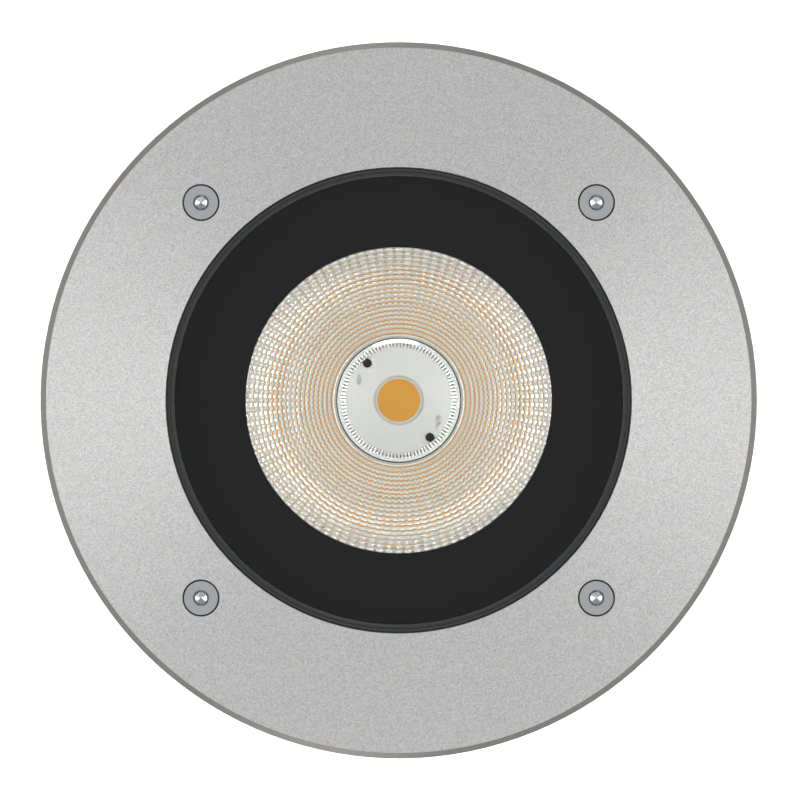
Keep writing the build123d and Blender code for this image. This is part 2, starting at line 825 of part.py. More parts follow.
def make_driver():
    """Potted constant-current driver with a fixing ear at each end, standing on the chamber floor."""
    can = extrude(RectangleRounded(driver_length, driver_width, driver_corner), driver_h)
    can = chamfer(can.edges().group_by(Axis.Z)[-1], driver_bevel)
    ear_span = driver_length + 2 * driver_ear_length
    ears = extrude(RectangleRounded(ear_span, driver_width / 2, driver_corner), driver_ear_t)
    holes = [
        Pos(driver_screw_x(side), 0, 0) * disc(m4_d / 2 + hole_slack, -over, driver_ear_t + over)
        for side in (-1, 1)
    ]
    return Pos(0, driver_centre_y, floor_z) * (can + ears - holes)


def make_driver_screws():
    """The two screws that hold the driver's ears to the floor."""
    screw = m4_screw(driver_screw_length)
    seat_z = floor_z + driver_ear_t
    return group([Pos(driver_screw_x(side), driver_centre_y, seat_z) * screw for side in (-1, 1)])


def terminal_x(way):
    """X of one way of the terminal block."""
    return (way - (terminal_ways - 1) / 2) * terminal_pitch


def make_terminal_block():
    """Terminal block with a wire port through each way and a screw well above it."""
    block = Pos(0, 0, terminal_h / 2) * Box(terminal_ways * terminal_pitch, terminal_width, terminal_h)
    block = chamfer(block.edges().filter_by(Axis.X).group_by(Axis.Z)[-1], terminal_bevel)
    cuts = []
    for way in range(terminal_ways):
        port = Rot(90, 0, 0) * Cylinder(terminal_port_d / 2, terminal_width + 2 * over)
        well = disc(terminal_well_d / 2, terminal_port_z, terminal_h + over)
        cuts += [Pos(terminal_x(way), 0, terminal_port_z) * port, Pos(terminal_x(way), 0, 0) * well]
    return Pos(0, terminal_centre_y, floor_z) * (block - cuts)


def make_terminal_screws():
    """Clamping screw in each well of the terminal block."""
    low = terminal_port_z + terminal_port_d / 2
    screw = disc(terminal_screw_d / 2, low, low + terminal_screw_h)
    slot = Box(terminal_screw_d + 2 * over, terminal_slot_w, 2 * terminal_slot_depth)
    screw -= Pos(0, 0, low + terminal_screw_h) * slot
    return group(
        [Pos(terminal_x(way), terminal_centre_y, floor_z) * screw for way in range(terminal_ways)]
    )


def make_earth_screw():
    """Earthing screw on its boss beside the terminal block."""
    screw = m4_screw(earth_screw_length)
    return Pos(earth_x, earth_y, floor_z + earth_boss_h) * screw


def make_gear_tray():
    """Tray that closes the gear chamber and shields it from the heat sink."""
    plate = disc(tray_r, shoulder_z, tray_z)
    screw_hole = stud(m4_d / 2 + hole_slack, shoulder_z - over, tray_z + over, 0, tray_screw_pcd / 2)
    vent = stud(tray_vent_d / 2, shoulder_z - over, tray_z + over, 0, tray_vent_pcd / 2)
    cuts = copies_round(screw_hole, steps_round(tray_screw_count, stop_angle))
    cuts += copies_round(vent, steps_round(tray_vent_count))
    cuts.append(disc(grommet_d / 2, shoulder_z - over, tray_z + over))
    return plate - cuts


def make_tray_screws():
    """Screws that hold the tray down on the shoulder."""
    screw = m4_screw(tray_screw_length)
    return group(
        copies_round(Pos(tray_screw_pcd / 2, 0, tray_z) * screw, steps_round(tray_screw_count, stop_angle))
    )


def make_grommet():
    """Rubber grommet in the tray, where the light source's lead comes through."""
    bore_r = grommet_bore_d / 2
    neck_r = grommet_d / 2
    flange_r = grommet_flange_d / 2
    return spun(
        (bore_r, shoulder_z - grommet_flange_t),
        (flange_r, shoulder_z - grommet_flange_t),
        (flange_r, shoulder_z),
        (neck_r, shoulder_z),
        (neck_r, tray_z),
        (flange_r, tray_z),
        (flange_r, tray_z + grommet_flange_t),
        (bore_r, tray_z + grommet_flange_t),
    )


# ---------------------------------------------------------------- cable gland and breather
def make_gland_body():
    """Gland body: thread through the gear case, hexagon, and the outer thread for the nut."""
    seat = entry_seat + gland_washer_t
    hex_end = seat + gland_hex_t
    body = disc(gland_thread_d / 2, gland_thread_end, seat)
    body += hexagon(gland_hex_af, seat, hex_end)
    body += disc(gland_outer_thread_d / 2, hex_end, hex_end + gland_outer_thread_length)
    bore = disc(gland_bore_d / 2, gland_thread_end - over, hex_end + gland_outer_thread_length + over)
    return outward(-90, entry_z) * (body - bore)


def make_gland_washer():
    """Flat seal between the gland's hexagon and the seat on the gear case."""
    return outward(-90, entry_z) * hoop(
        gland_washer_d / 2, gland_thread_d / 2 + thread_slack, entry_seat, entry_seat + gland_washer_t
    )


def seal_start():
    """Inner end of the rubber seal, measured along the gland from the centre."""
    return nut_start() + gland_nut_length - gland_nose_wall - seal_length


def nut_start():
    """Inner end of the dome nut, measured along the gland from the centre."""
    return entry_seat + gland_washer_t + gland_hex_t + gland_nut_start


def make_gland_seal():
    """Rubber bush that closes on the cable."""
    start = seal_start()
    return outward(-90, entry_z) * hoop(seal_d / 2, cable_bore_d / 2, start, start + seal_length)


def make_gland_nut():
    """Dome nut with grip flats and a rounded nose, screwed over the body's outer thread."""
    start = nut_start()
    end = start + gland_nut_length
    outer_r = gland_nut_d / 2
    nose_r = outer_r - gland_nose_inset
    thread_r = gland_outer_thread_d / 2 + thread_slack
    thread_end = entry_seat + gland_washer_t + gland_hex_t + gland_outer_thread_length + part_gap
    seal_r = seal_d / 2 + 2 * thread_slack
    body = spun(
        (gland_mouth_d / 2, end),
        (gland_mouth_d / 2, end - gland_nose_wall),
        (seal_r, end - gland_nose_wall),
        (seal_r, thread_end),
        (thread_r, thread_end),
        (thread_r, start),
        (outer_r, start),
        (outer_r, end - gland_nose_round),
        (nose_r, end),
    )
    return outward(-90, entry_z) * (body & hexagon(gland_nut_af, start - over, end + over))


def make_gland_locknut():
    """Locknut inside the chamber that pulls the gland onto its seat."""
    end = entry_inner_seat - locknut_t
    nut = hexagon(locknut_af, end, entry_inner_seat)
    hole = disc(gland_thread_d / 2 + thread_slack, end - over, entry_inner_seat + over)
    return outward(-90, entry_z) * (nut - hole)


def make_breather():
    """Breather plug: hexagon and a slotted cap over the membrane, with a vent down its thread."""
    seat = entry_seat + breather_seal_t
    hex_end = seat + breather_hex_t
    cap_end = hex_end + breather_cap_t
    body = disc(breather_thread_d / 2, breather_inner_end, seat)
    body += hexagon(breather_hex_af, seat, hex_end)
    cap = disc(breather_cap_d / 2, hex_end, cap_end)
    body += chamfer(cap.edges().group_by(Axis.Z)[-1], breather_cap_bevel)
    slot = Box(breather_cap_d / 2, breather_slot_w, breather_slot_h)
    slot = Pos(breather_cap_d / 2, 0, hex_end + breather_slot_h) * slot
    vent = disc(breather_vent_d / 2, breather_inner_end - over, hex_end + breather_vent_rise)
    slots = copies_round(slot, steps_round(breather_slot_count))
    return outward(breather_angle, entry_z) * (body - slots - vent)


def make_breather_seal():
    """O-ring face seal under the breather's hexagon."""
    return outward(breather_angle, entry_z) * hoop(
        breather_seal_d / 2, breather_thread_d / 2 + thread_slack, entry_seat, entry_seat + breather_seal_t
    )


# ---------------------------------------------------------------- aiming
def along_x(shape, side):
    """A shape built upright on Z, laid along +X or -X at the tilt pivot's height."""
    return Pos(0, 0, pivot_z) * Rot(0, 90 * side, 0) * shape


def make_swivel_ring():
    """Turning ring with a stop tab, and two ears that carry the tilt pivots."""
    plate = hoop(swivel_r, swivel_inner_r, swivel_z, swivel_z + swivel_ring_t)
    tab = Rot(0, 0, stop_angle + 180) * ring_sector(
        swivel_r - over, swivel_r + stop_tab_reach, swivel_z, swivel_z + swivel_ring_t, stop_half_angle()
    )
    ear_mid = ear_face + ear_t / 2
    stem_h = pivot_z - swivel_z
    body = plate + tab
    cuts = []
    slot_arc = CenterArc((0, 0), stop_pin_radius, 270 - tilt_limit, 2 * tilt_limit)
    slot = Plane.YZ * SlotArc(slot_arc, stop_pin_d + 2 * stop_slack)
    for side in (-1, 1):
        stem = Pos(side * ear_mid, 0, swivel_z + stem_h / 2) * Box(ear_t, ear_w, stem_h)
        head = along_x(disc(ear_w / 2, ear_face, ear_face + ear_t), side)
        body += [stem, head]
        cuts.append(along_x(disc(pivot_d / 2 + turning_gap, ear_face - over, ear_face + ear_t + over), side))
        cuts.append(Pos(side * ear_mid, 0, pivot_z) * extrude(slot, ear_t, both=True))
    return body - cuts


def make_swivel_brackets():
    """Four brackets screwed to the barrel: three carry clips, the fourth the swivel's stop block."""
    shelf_r = swivel_r - bracket_overlap
    outline = Polyline(
        (shelf_r, swivel_z), (shelf_r, swivel_z - bracket_t),
        (bracket_pad_x, swivel_z - bracket_t - bracket_gusset_h), (bracket_pad_x, swivel_z), close=True,
    )
    bracket = extrude(Plane.XZ * make_face(outline), bracket_w / 2, both=True)
    bracket -= bracket_screw_row(disc(m4_d / 2 + hole_slack, -bracket_screw_length, over))
    bracket -= bracket_screw_row(disc(bracket_bore_d / 2, 0, bracket_screw_seat - shelf_r + over))
    tapped_r = m4_d / 2 + thread_slack
    clipped = bracket - stud(tapped_r, swivel_z - clip_hole_depth, swivel_z + over, 0, clip_screw_r())
    stop_back_r = clip_post_r() + clip_post_depth
    stop_block = ring_sector(
        swivel_r + stop_clearance, stop_back_r, swivel_z, swivel_z + swivel_ring_t, stop_half_angle()
    )
    return group([*copies_round(clipped, clip_angles), Rot(0, 0, stop_angle) * (bracket + stop_block)])


def make_bracket_screws():
    """Screws that hold the brackets to the barrel."""
    row = bracket_screw_row(m4_screw(bracket_screw_length))
    return group([copy for screw in row for copy in copies_round(screw, bracket_angles())])


def make_swivel_clips():
    """Clips on three brackets that keep the swivel ring down and let it turn."""
    post_r = clip_post_r()
    finger_low = swivel_z + swivel_ring_t + part_gap
    finger_top = finger_low + clip_finger_t
    finger_r = swivel_r - clip_bite
    back_r = post_r + clip_post_depth
    outline = Polyline(
        (post_r, swivel_z), (back_r, swivel_z), (back_r, finger_top),
        (finger_r, finger_top), (finger_r, finger_low), (post_r, finger_low), close=True,
    )
    clip = extrude(Plane.XZ * make_face(outline), clip_w / 2, both=True)
    clip -= stud(m4_d / 2 + hole_slack, swivel_z - over, finger_top + over, 0, clip_screw_r())
    return group(copies_round(clip, clip_angles))


def make_clip_screws():
    """Screws that hold the swivel clips to their brackets."""
    seat_z = swivel_z + swivel_ring_t + part_gap + clip_finger_t
    screw = m4_screw(clip_screw_length)
    return group(copies_round(Pos(clip_screw_r(), 0, seat_z) * screw, clip_angles))


def make_pivot_screws():
    """Shoulder screws: the shoulder turns in the ear, the thread holds in the frame's trunnion."""
    seat = ear_face - part_gap
    head_low = ear_face + ear_t + part_gap
    screw = disc(pivot_thread_d / 2, seat - pivot_thread_length, seat)
    screw += disc(pivot_d / 2, seat, head_low)
    head_top = head_low + pivot_head_h
    screw += disc(pivot_head_d / 2, head_low, head_top)
    screw -= hexagon(pivot_socket_af, head_top - pivot_socket_depth, head_top)
    return group([along_x(screw, side) for side in (-1, 1)])


def make_stop_pins():
    """Dowels in the frame that run in the ears' curved slots and end the tilt."""
    root = trunnion_face - stop_pin_root
    pin = disc(stop_pin_d / 2, root, ear_face + ear_t)
    return group([Pos(0, 0, -stop_pin_radius) * along_x(pin, side) for side in (-1, 1)])


def make_optic_frame():
    """Tilting frame: windowed cone from the reflector's rim down to the heat sink."""
    seat_z = rim_z - reflector_rim_t
    ring_z = seat_z - frame_ring_h
    foot_r = frame_foot_d / 2
    body = spun(
        (frame_foot_bore_d / 2, sink_z),
        (foot_r, sink_z),
        (frame_r, ring_z),
        (frame_r, seat_z),
        (frame_r - frame_ring_width, seat_z),
        (frame_r - frame_ring_width, ring_z),
        (foot_r - frame_wall, sink_z + frame_foot_t),
        (frame_foot_bore_d / 2, sink_z + frame_foot_t),
    )
    window_low = sink_z + frame_foot_t + frame_window_margin
    window_high = ring_z - frame_window_margin
    window = Pos(frame_r, 0, (window_low + window_high) / 2) * Box(
        frame_r, frame_window_w, window_high - window_low
    )
    window = fillet(window.edges().filter_by(Axis.X), frame_window_round)
    cuts = copies_round(window, steps_round(frame_window_count))
    cuts += copies_round(
        stud(m4_d / 2 + hole_slack, sink_z - over, sink_z + frame_foot_t + over, 0, sink_screw_pcd / 2),
        steps_round(sink_screw_count, sink_screw_first_angle),
    )
    tapped_r = retainer_screw_d / 2 + thread_slack
    tapped = stud(tapped_r, rim_z - retainer_screw_length, rim_z, 0, retainer_screw_r())
    cuts += copies_round(tapped, steps_round(retainer_tab_count, stop_angle))
    pads = []
    for side in (-1, 1):
        pads.append(along_x(disc(trunnion_pad_d / 2, frame_r - trunnion_root, trunnion_face), side))
        pads.append(along_x(disc(trunnion_boss_d / 2, frame_r - trunnion_root, ear_face - part_gap), side))
        thread_low = ear_face - part_gap - pivot_thread_length
        cuts.append(along_x(disc(pivot_thread_d / 2 + thread_slack, thread_low, ear_face), side))
        pin_hole = disc(stop_pin_d / 2 + thread_slack, trunnion_face - stop_pin_root, ear_face)
        cuts.append(Pos(0, 0, -stop_pin_radius) * along_x(pin_hole, side))
    return body + pads - cuts


def retainer_screw_r():
    """Distance of the retainer's screws from the centre, over the frame's top ring."""
    return frame_r - frame_ring_width / 2 + retainer_screw_shift


# ---------------------------------------------------------------- reflector
def mirror_stations():
    """(radius, height) of each facet row's edge, from the throat up the parabola to the mouth."""
    step = (mouth_r - throat_r) / facet_rows
    radii = [throat_r + step * row for row in range(facet_rows + 1)]
    return [(radius, vertex_z + radius**2 / (4 * focal_length)) for radius in radii]


def skin_stations():
    """(radius, height) of the outer skin, from under the rim back down to the collar."""
    step = (mouth_r - throat_r) / skin_steps
    stations = []
    for row in range(skin_steps, -1, -1):
        radius = throat_r + step * row
        height = vertex_z + radius**2 / (4 * focal_length)
        stations.append((radius + reflector_wall, min(height, rim_z - reflector_rim_t)))
    return stations


def faceted_solid(outline):
    """Closed outline of (radius, height) points carried round Z in flat facets."""
    turn = [radians(angle) for angle in steps_round(facet_columns, 180.0 / facet_columns)]
    loops = [[Vector(r * cos(a), r * sin(a), z) for a in turn] for r, z in outline]
    faces = []
    for here, there in zip(loops, loops[1:] + loops[:1]):
        for column in range(facet_columns):
            after = (column + 1) % facet_columns
            corners = [here[column], here[after], there[after], there[column]]
            faces.append(Face(Wire.make_polygon(corners, close=True)))
    return Solid(Shell(faces))


def make_reflector():
    """Faceted mirror with a smooth collar at its throat and a flat rim that sits on the frame."""
    collar_r = collar_bore_d / 2
    knee_r = collar_knee_d / 2
    mirror = mirror_stations()
    skin = skin_stations()
    outline = [
        (collar_r, holder_z),
        (knee_r, holder_z + collar_knee_rise),
        *mirror,
        (rim_r, rim_z),
        (rim_r, rim_z - reflector_rim_t),
        *skin,
        (throat_r + reflector_wall, holder_z),
    ]
    return faceted_solid(outline)


def make_retainer():
    """Black ring over the reflector's rim, screwed down into the frame at three tabs."""
    plate = hoop(retainer_r, retainer_bore_d / 2, rim_z, rim_z + retainer_t)
    tab = stud(retainer_tab_d / 2, rim_z, rim_z + retainer_t, 0, retainer_screw_r())
    hole_r = retainer_screw_d / 2 + hole_slack / 2
    hole = stud(hole_r, rim_z - over, rim_z + retainer_t + over, 0, retainer_screw_r())
    angles = steps_round(retainer_tab_count, stop_angle)
    return plate + copies_round(tab, angles) - copies_round(hole, angles)


def make_retainer_screws():
    """Small screws through the retainer into the frame."""
    screw = cap_screw(
        retainer_screw_d, retainer_screw_length, retainer_head_d, retainer_head_h, retainer_socket_af
    )
    angles = steps_round(retainer_tab_count, stop_angle)
    return group(copies_round(Pos(retainer_screw_r(), 0, rim_z + retainer_t) * screw, angles))


# ---------------------------------------------------------------- light source
def make_heat_sink():
    """Finned aluminium heat sink: round base with parallel fins, cut to the circle."""
    count = int((heat_sink_r - heat_sink_fin_t) / heat_sink_fin_pitch)
    fin_mid = sink_low_z + heat_sink_fin_h / 2
    fins = [
        Pos(0, row * heat_sink_fin_pitch, fin_mid) * Box(heat_sink_d, heat_sink_fin_t, heat_sink_fin_h)
        for row in range(-count, count + 1)
    ]
    body = disc(heat_sink_r, sink_base_z, sink_z)
    round_fins = [fin & disc(heat_sink_r, sink_low_z, sink_base_z) for fin in fins]
    body = body + round_fins
    low = sink_base_z + sink_web
    frame_hole = stud(m4_d / 2 + thread_slack, low, sink_z + over, 0, sink_screw_pcd / 2)
    holder_hole = stud(holder_screw_d / 2 + thread_slack, low, sink_z + over, 0, holder_screw_pcd / 2)
    cuts = copies_round(frame_hole, steps_round(sink_screw_count, sink_screw_first_angle))
    cuts += copies_round(holder_hole, steps_round(2, holder_screw_angle))
    return body - cuts


def make_sink_screws():
    """Screws through the frame's foot into the heat sink."""
    screw = m4_screw(sink_screw_length)
    seat = Pos(sink_screw_pcd / 2, 0, sink_z + frame_foot_t)
    return group(copies_round(seat * screw, steps_round(sink_screw_count, sink_screw_first_angle)))


def square_plate(side, low, high):
    """Square plate between two heights, its flats facing the holder's screws."""
    return Pos(0, 0, (low + high) / 2) * Rot(0, 0, holder_screw_angle) * Box(side, side, high - low)


def holder_pocket_z():
    """Roof of the holder's pocket for the board, and the floor of its contact slots."""
    return sink_z + pad_t + substrate_t + part_gap


def make_thermal_pad():
    """Thermal pad between light source and heat sink."""
    return square_plate(pad_side, sink_z, sink_z + pad_t)


def make_cob_substrate():
    """Light source's carrier board with the raised white dam round its phosphor."""
    board_low = sink_z + pad_t
    board_top = board_low + substrate_t
    dam_r = phosphor_d / 2 + dam_width
    board = square_plate(substrate_side, board_low, board_top)
    return board + hoop(dam_r, phosphor_d / 2, board_top, board_top + phosphor_t + dam_rise)


def make_cob_phosphor():
    """Yellow phosphor disc, inside its dam."""
    return disc(phosphor_d / 2, source_z - phosphor_t, source_z)


def contact_place(turn):
    """Placement of one contact slot on the holder, before and after a half turn."""
    angle = radians(contact_angle + turn)
    return Pos(contact_radius * cos(angle), contact_radius * sin(angle), 0)


def make_cob_holder():
    """Round holder that presses the light source down, with screw ports and contact slots."""
    pocket_top = holder_pocket_z()
    body = disc(holder_d / 2, sink_z, holder_z)
    top = holder_z + holder_boss_h
    boss = spun((0, sink_z), (holder_boss_d / 2, sink_z), (holder_boss_d / 2, holder_z),
                (holder_boss_top_d / 2, top), (0, top))
    bosses = copies_round(Pos(holder_screw_pcd / 2, 0, 0) * boss, steps_round(2, holder_screw_angle))
    body += [boss & disc(holder_d / 2, sink_z, top) for boss in bosses]
    cover_ring = hoop(holder_d, collar_bore_d / 2 - part_gap, holder_z, holder_z + over)
    bore_r = holder_bore_d / 2
    bore = spun(
        (0, sink_z - over), (bore_r, sink_z - over), (bore_r, holder_z - holder_bore_bevel),
        (bore_r + holder_bore_bevel, holder_z), (bore_r + holder_bore_bevel, holder_z + over),
        (0, holder_z + over),
    )
    cuts = [cover_ring, bore, square_plate(pad_side + 2 * part_gap, sink_z, pocket_top)]
    port = stud(holder_port_d / 2, holder_seat_z(), holder_z + over, 0, holder_screw_pcd / 2)
    shank_r = holder_screw_d / 2 + hole_slack
    shank_hole = stud(shank_r, sink_z - over, holder_z, 0, holder_screw_pcd / 2)
    cuts += copies_round(port + shank_hole, steps_round(2, holder_screw_angle))
    slot = Pos(0, 0, holder_z) * Box(contact_slot_w, contact_slot_length, 2 * (holder_z - pocket_top))
    cuts += [contact_place(turn) * slot for turn in (0, 180)]
    return body - cuts


def holder_seat_z():
    """Seat of the holder screws' heads."""
    return sink_z + holder_seat_t


def make_holder_screws():
    """Dark screws seen down the holder's two ports."""
    screw = cap_screw(holder_screw_d, holder_screw_length, holder_head_d, holder_head_h, holder_socket_af)
    seated = Pos(holder_screw_pcd / 2, 0, holder_seat_z()) * screw
    return group(copies_round(seated, steps_round(2, holder_screw_angle)))


def make_contact_springs():
    """Contact springs that show in the holder's two slots."""
    low = holder_pocket_z()
    high = holder_z - contact_sink
    bar = Pos(0, 0, (low + high) / 2) * Box(contact_bar_w, contact_bar_length, high - low)
    return group([contact_place(turn) * bar for turn in (0, 180)])


# ---------------------------------------------------------------- every node
def nodes():
    """Name and solid of every separate piece."""
    return {
        "trim_ring": make_trim_ring(),
        "cover_screws": make_cover_screws(),
        "glass_lens": make_glass(),
        "glass_border": make_glass_border(),
        "glass_gasket": make_gasket(),
        "housing_flange": make_housing_flange(),
        "flange_seal": make_flange_seal(),
        "flange_screws": make_flange_screws(),
        "housing": make_housing(),
        "gear_case": make_gear_case(),
        "case_seal": make_case_seal(),
        "case_screws": make_case_screws(),
        "gear_tray": make_gear_tray(),
        "tray_screws": make_tray_screws(),
        "tray_grommet": make_grommet(),
        "driver": make_driver(),
        "driver_screws": make_driver_screws(),
        "terminal_block": make_terminal_block(),
        "terminal_screws": make_terminal_screws(),
        "earth_screw": make_earth_screw(),
        "gland_body": make_gland_body(),
        "gland_washer": make_gland_washer(),
        "gland_seal": make_gland_seal(),
        "gland_nut": make_gland_nut(),
        "gland_locknut": make_gland_locknut(),
        "breather_plug": make_breather(),
        "breather_seal": make_breather_seal(),
        "swivel_ring": make_swivel_ring(),
        "swivel_brackets": make_swivel_brackets(),
        "bracket_screws": make_bracket_screws(),
        "swivel_clips": make_swivel_clips(),
        "clip_screws": make_clip_screws(),
        "optic_frame": make_optic_frame(),
        "pivot_screws": make_pivot_screws(),
        "stop_pins": make_stop_pins(),
        "heat_sink": make_heat_sink(),
        "sink_screws": make_sink_screws(),
        "thermal_pad": make_thermal_pad(),
        "cob_substrate": make_cob_substrate(),
        "cob_phosphor": make_cob_phosphor(),
        "cob_holder": make_cob_holder(),
        "holder_screws": make_holder_screws(),
        "contact_springs": make_contact_springs(),
        "reflector": make_reflector(),
        "reflector_retainer": make_retainer(),
        "retainer_screws": make_retainer_screws(),
    }


os.makedirs("parts", exist_ok=True)
for name, solid in nodes().items():
    export_step(solid, f"parts/{name}.step")
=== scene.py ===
"""Looks of the round in-ground well light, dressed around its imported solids.

Every size here is in millimetres, unless it says metres, and is turned to metres by one constant. Heights
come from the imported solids, so a piece made here lies where the solid that it stands for lies.
"""

from __future__ import annotations

import logging
import math
from dataclasses import dataclass, field
from enum import Enum
from typing import Iterable

import bmesh
import bpy
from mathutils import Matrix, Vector

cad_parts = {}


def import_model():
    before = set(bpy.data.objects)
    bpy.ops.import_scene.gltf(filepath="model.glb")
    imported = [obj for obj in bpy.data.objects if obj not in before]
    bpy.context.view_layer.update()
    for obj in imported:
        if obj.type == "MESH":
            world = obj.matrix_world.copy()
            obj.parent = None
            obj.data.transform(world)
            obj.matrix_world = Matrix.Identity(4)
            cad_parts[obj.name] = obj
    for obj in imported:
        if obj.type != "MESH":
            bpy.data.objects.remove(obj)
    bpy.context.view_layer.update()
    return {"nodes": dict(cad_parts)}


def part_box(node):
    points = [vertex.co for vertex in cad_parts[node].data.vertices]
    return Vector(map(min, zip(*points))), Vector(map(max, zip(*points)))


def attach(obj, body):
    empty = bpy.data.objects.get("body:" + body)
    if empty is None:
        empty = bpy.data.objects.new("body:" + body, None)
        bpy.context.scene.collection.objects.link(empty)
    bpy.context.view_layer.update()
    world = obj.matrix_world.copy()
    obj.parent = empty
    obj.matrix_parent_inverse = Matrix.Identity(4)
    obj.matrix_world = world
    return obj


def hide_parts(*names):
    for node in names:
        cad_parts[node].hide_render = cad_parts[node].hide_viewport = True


MM = 0.001
# Points of a spun mesh that lie closer than this, in metres, are one point.
WELD = 1e-7
# Points that lie closer than this, in mm, to a surface or a radius count as on it.
NEAR = 1e-3
log = logging.getLogger("well_light")


# ------------------------------------------------------------------ node helpers
def linear(hex_colour: str) -> tuple[float, float, float, float]:
    """Turn an sRGB hex colour into the linear colour that a shader takes.

    Args:
        hex_colour: Six hex digits with a leading hash.

    Returns:
        Red, green, blue and an alpha of 1.
    """
    channels = [int(hex_colour[at : at + 2], 16) / 255 for at in (1, 3, 5)]
    red, green, blue = (c / 12.92 if c <= 0.04045 else ((c + 0.055) / 1.055) ** 2.4 for c in channels)
    return red, green, blue, 1.0


def blank_material(name: str) -> bpy.types.Material:
    """Make a material whose node tree is empty.

    Args:
        name: The material's name.

    Returns:
        The new material.
    """
    material = bpy.data.materials.new(name)
    material.use_nodes = True
    material.node_tree.nodes.clear()
    return material


def add_node(
    material: bpy.types.Material | bpy.types.World,
    kind: str,
    inputs: dict[str | int, object] | None = None,
    **settings: object,
) -> bpy.types.Node:
    """Add one node with its settings, values and links.

    Args:
        material: Material or world whose tree gets the node.
        kind: Node type, such as ShaderNodeTexNoise.
        inputs: Input name or index to a value, or to the output socket that feeds it.
        **settings: Attributes set on the node itself.

    Returns:
        The new node.
    """
    tree = material.node_tree
    node = tree.nodes.new(kind)
    for name, value in settings.items():
        setattr(node, name, value)
    for name, value in (inputs or {}).items():
        if isinstance(value, bpy.types.NodeSocket):
            tree.links.new(value, node.inputs[name])
        else:
            node.inputs[name].default_value = value
    return node


def past_radius(
    material: bpy.types.Material, place: bpy.types.NodeSocket, radius: float
) -> bpy.types.NodeSocket:
    """Tell what lies farther than a radius from the light's axis.

    Args:
        material: Material whose tree gets the nodes.
        place: Object coordinates.
        radius: The radius, in mm.

    Returns:
        An output that is 1 past the radius and 0 inside it.
    """
    flat = add_node(
        material, "ShaderNodeVectorMath", {0: place, 1: (1.0, 1.0, 0.0)}, operation="MULTIPLY"
    )
    reach = add_node(material, "ShaderNodeVectorMath", {0: flat.outputs[0]}, operation="LENGTH")
    return add_node(
        material,
        "ShaderNodeMath",
        {0: reach.outputs["Value"], 1: radius * MM},
        operation="GREATER_THAN",
    ).outputs["Value"]


# ------------------------------------------------------------------ mesh helpers
def spun(outline: Iterable[Vector], steps: int) -> bmesh.types.BMesh:
    """Spin an outline, whose last point repeats its first, once round the light's axis.

    Args:
        outline: Points in the XZ plane, in metres.
        steps: Straight steps round the axis.

    Returns:
        The closed mesh, with its doubles merged.
    """
    mesh = bmesh.new()
    line = [mesh.verts.new(point) for point in outline]
    edges = [mesh.edges.new(pair) for pair in zip(line, line[1:])]
    bmesh.ops.spin(
        mesh,
        geom=line + edges,
        cent=(0, 0, 0),
        axis=(0, 0, 1),
        angle=2 * math.pi,
        steps=steps,
        use_merge=True,
    )
    bmesh.ops.remove_doubles(mesh, verts=mesh.verts, dist=WELD)
    return mesh


def add_piece(name: str, mesh: bmesh.types.BMesh, material: bpy.types.Material) -> bpy.types.Object:
    """Turn a finished mesh into an object at the origin.

    Args:
        name: The object's name.
        mesh: The mesh, which is freed.
        material: What it is made of.

    Returns:
        The new object.
    """
    data = bpy.data.meshes.new(name)
    mesh.to_mesh(data)
    mesh.free()
    piece = bpy.data.objects.new(name, data)
    bpy.context.scene.collection.objects.link(piece)
    data.materials.append(material)
    return piece


# ------------------------------------------------------------------ finishes
class Grain(Enum):
    """How a surface was made, which sets the shape of its fine relief."""

    MOULDED = "moulded"
    CAST = "cast"
    DRAWN = "drawn"


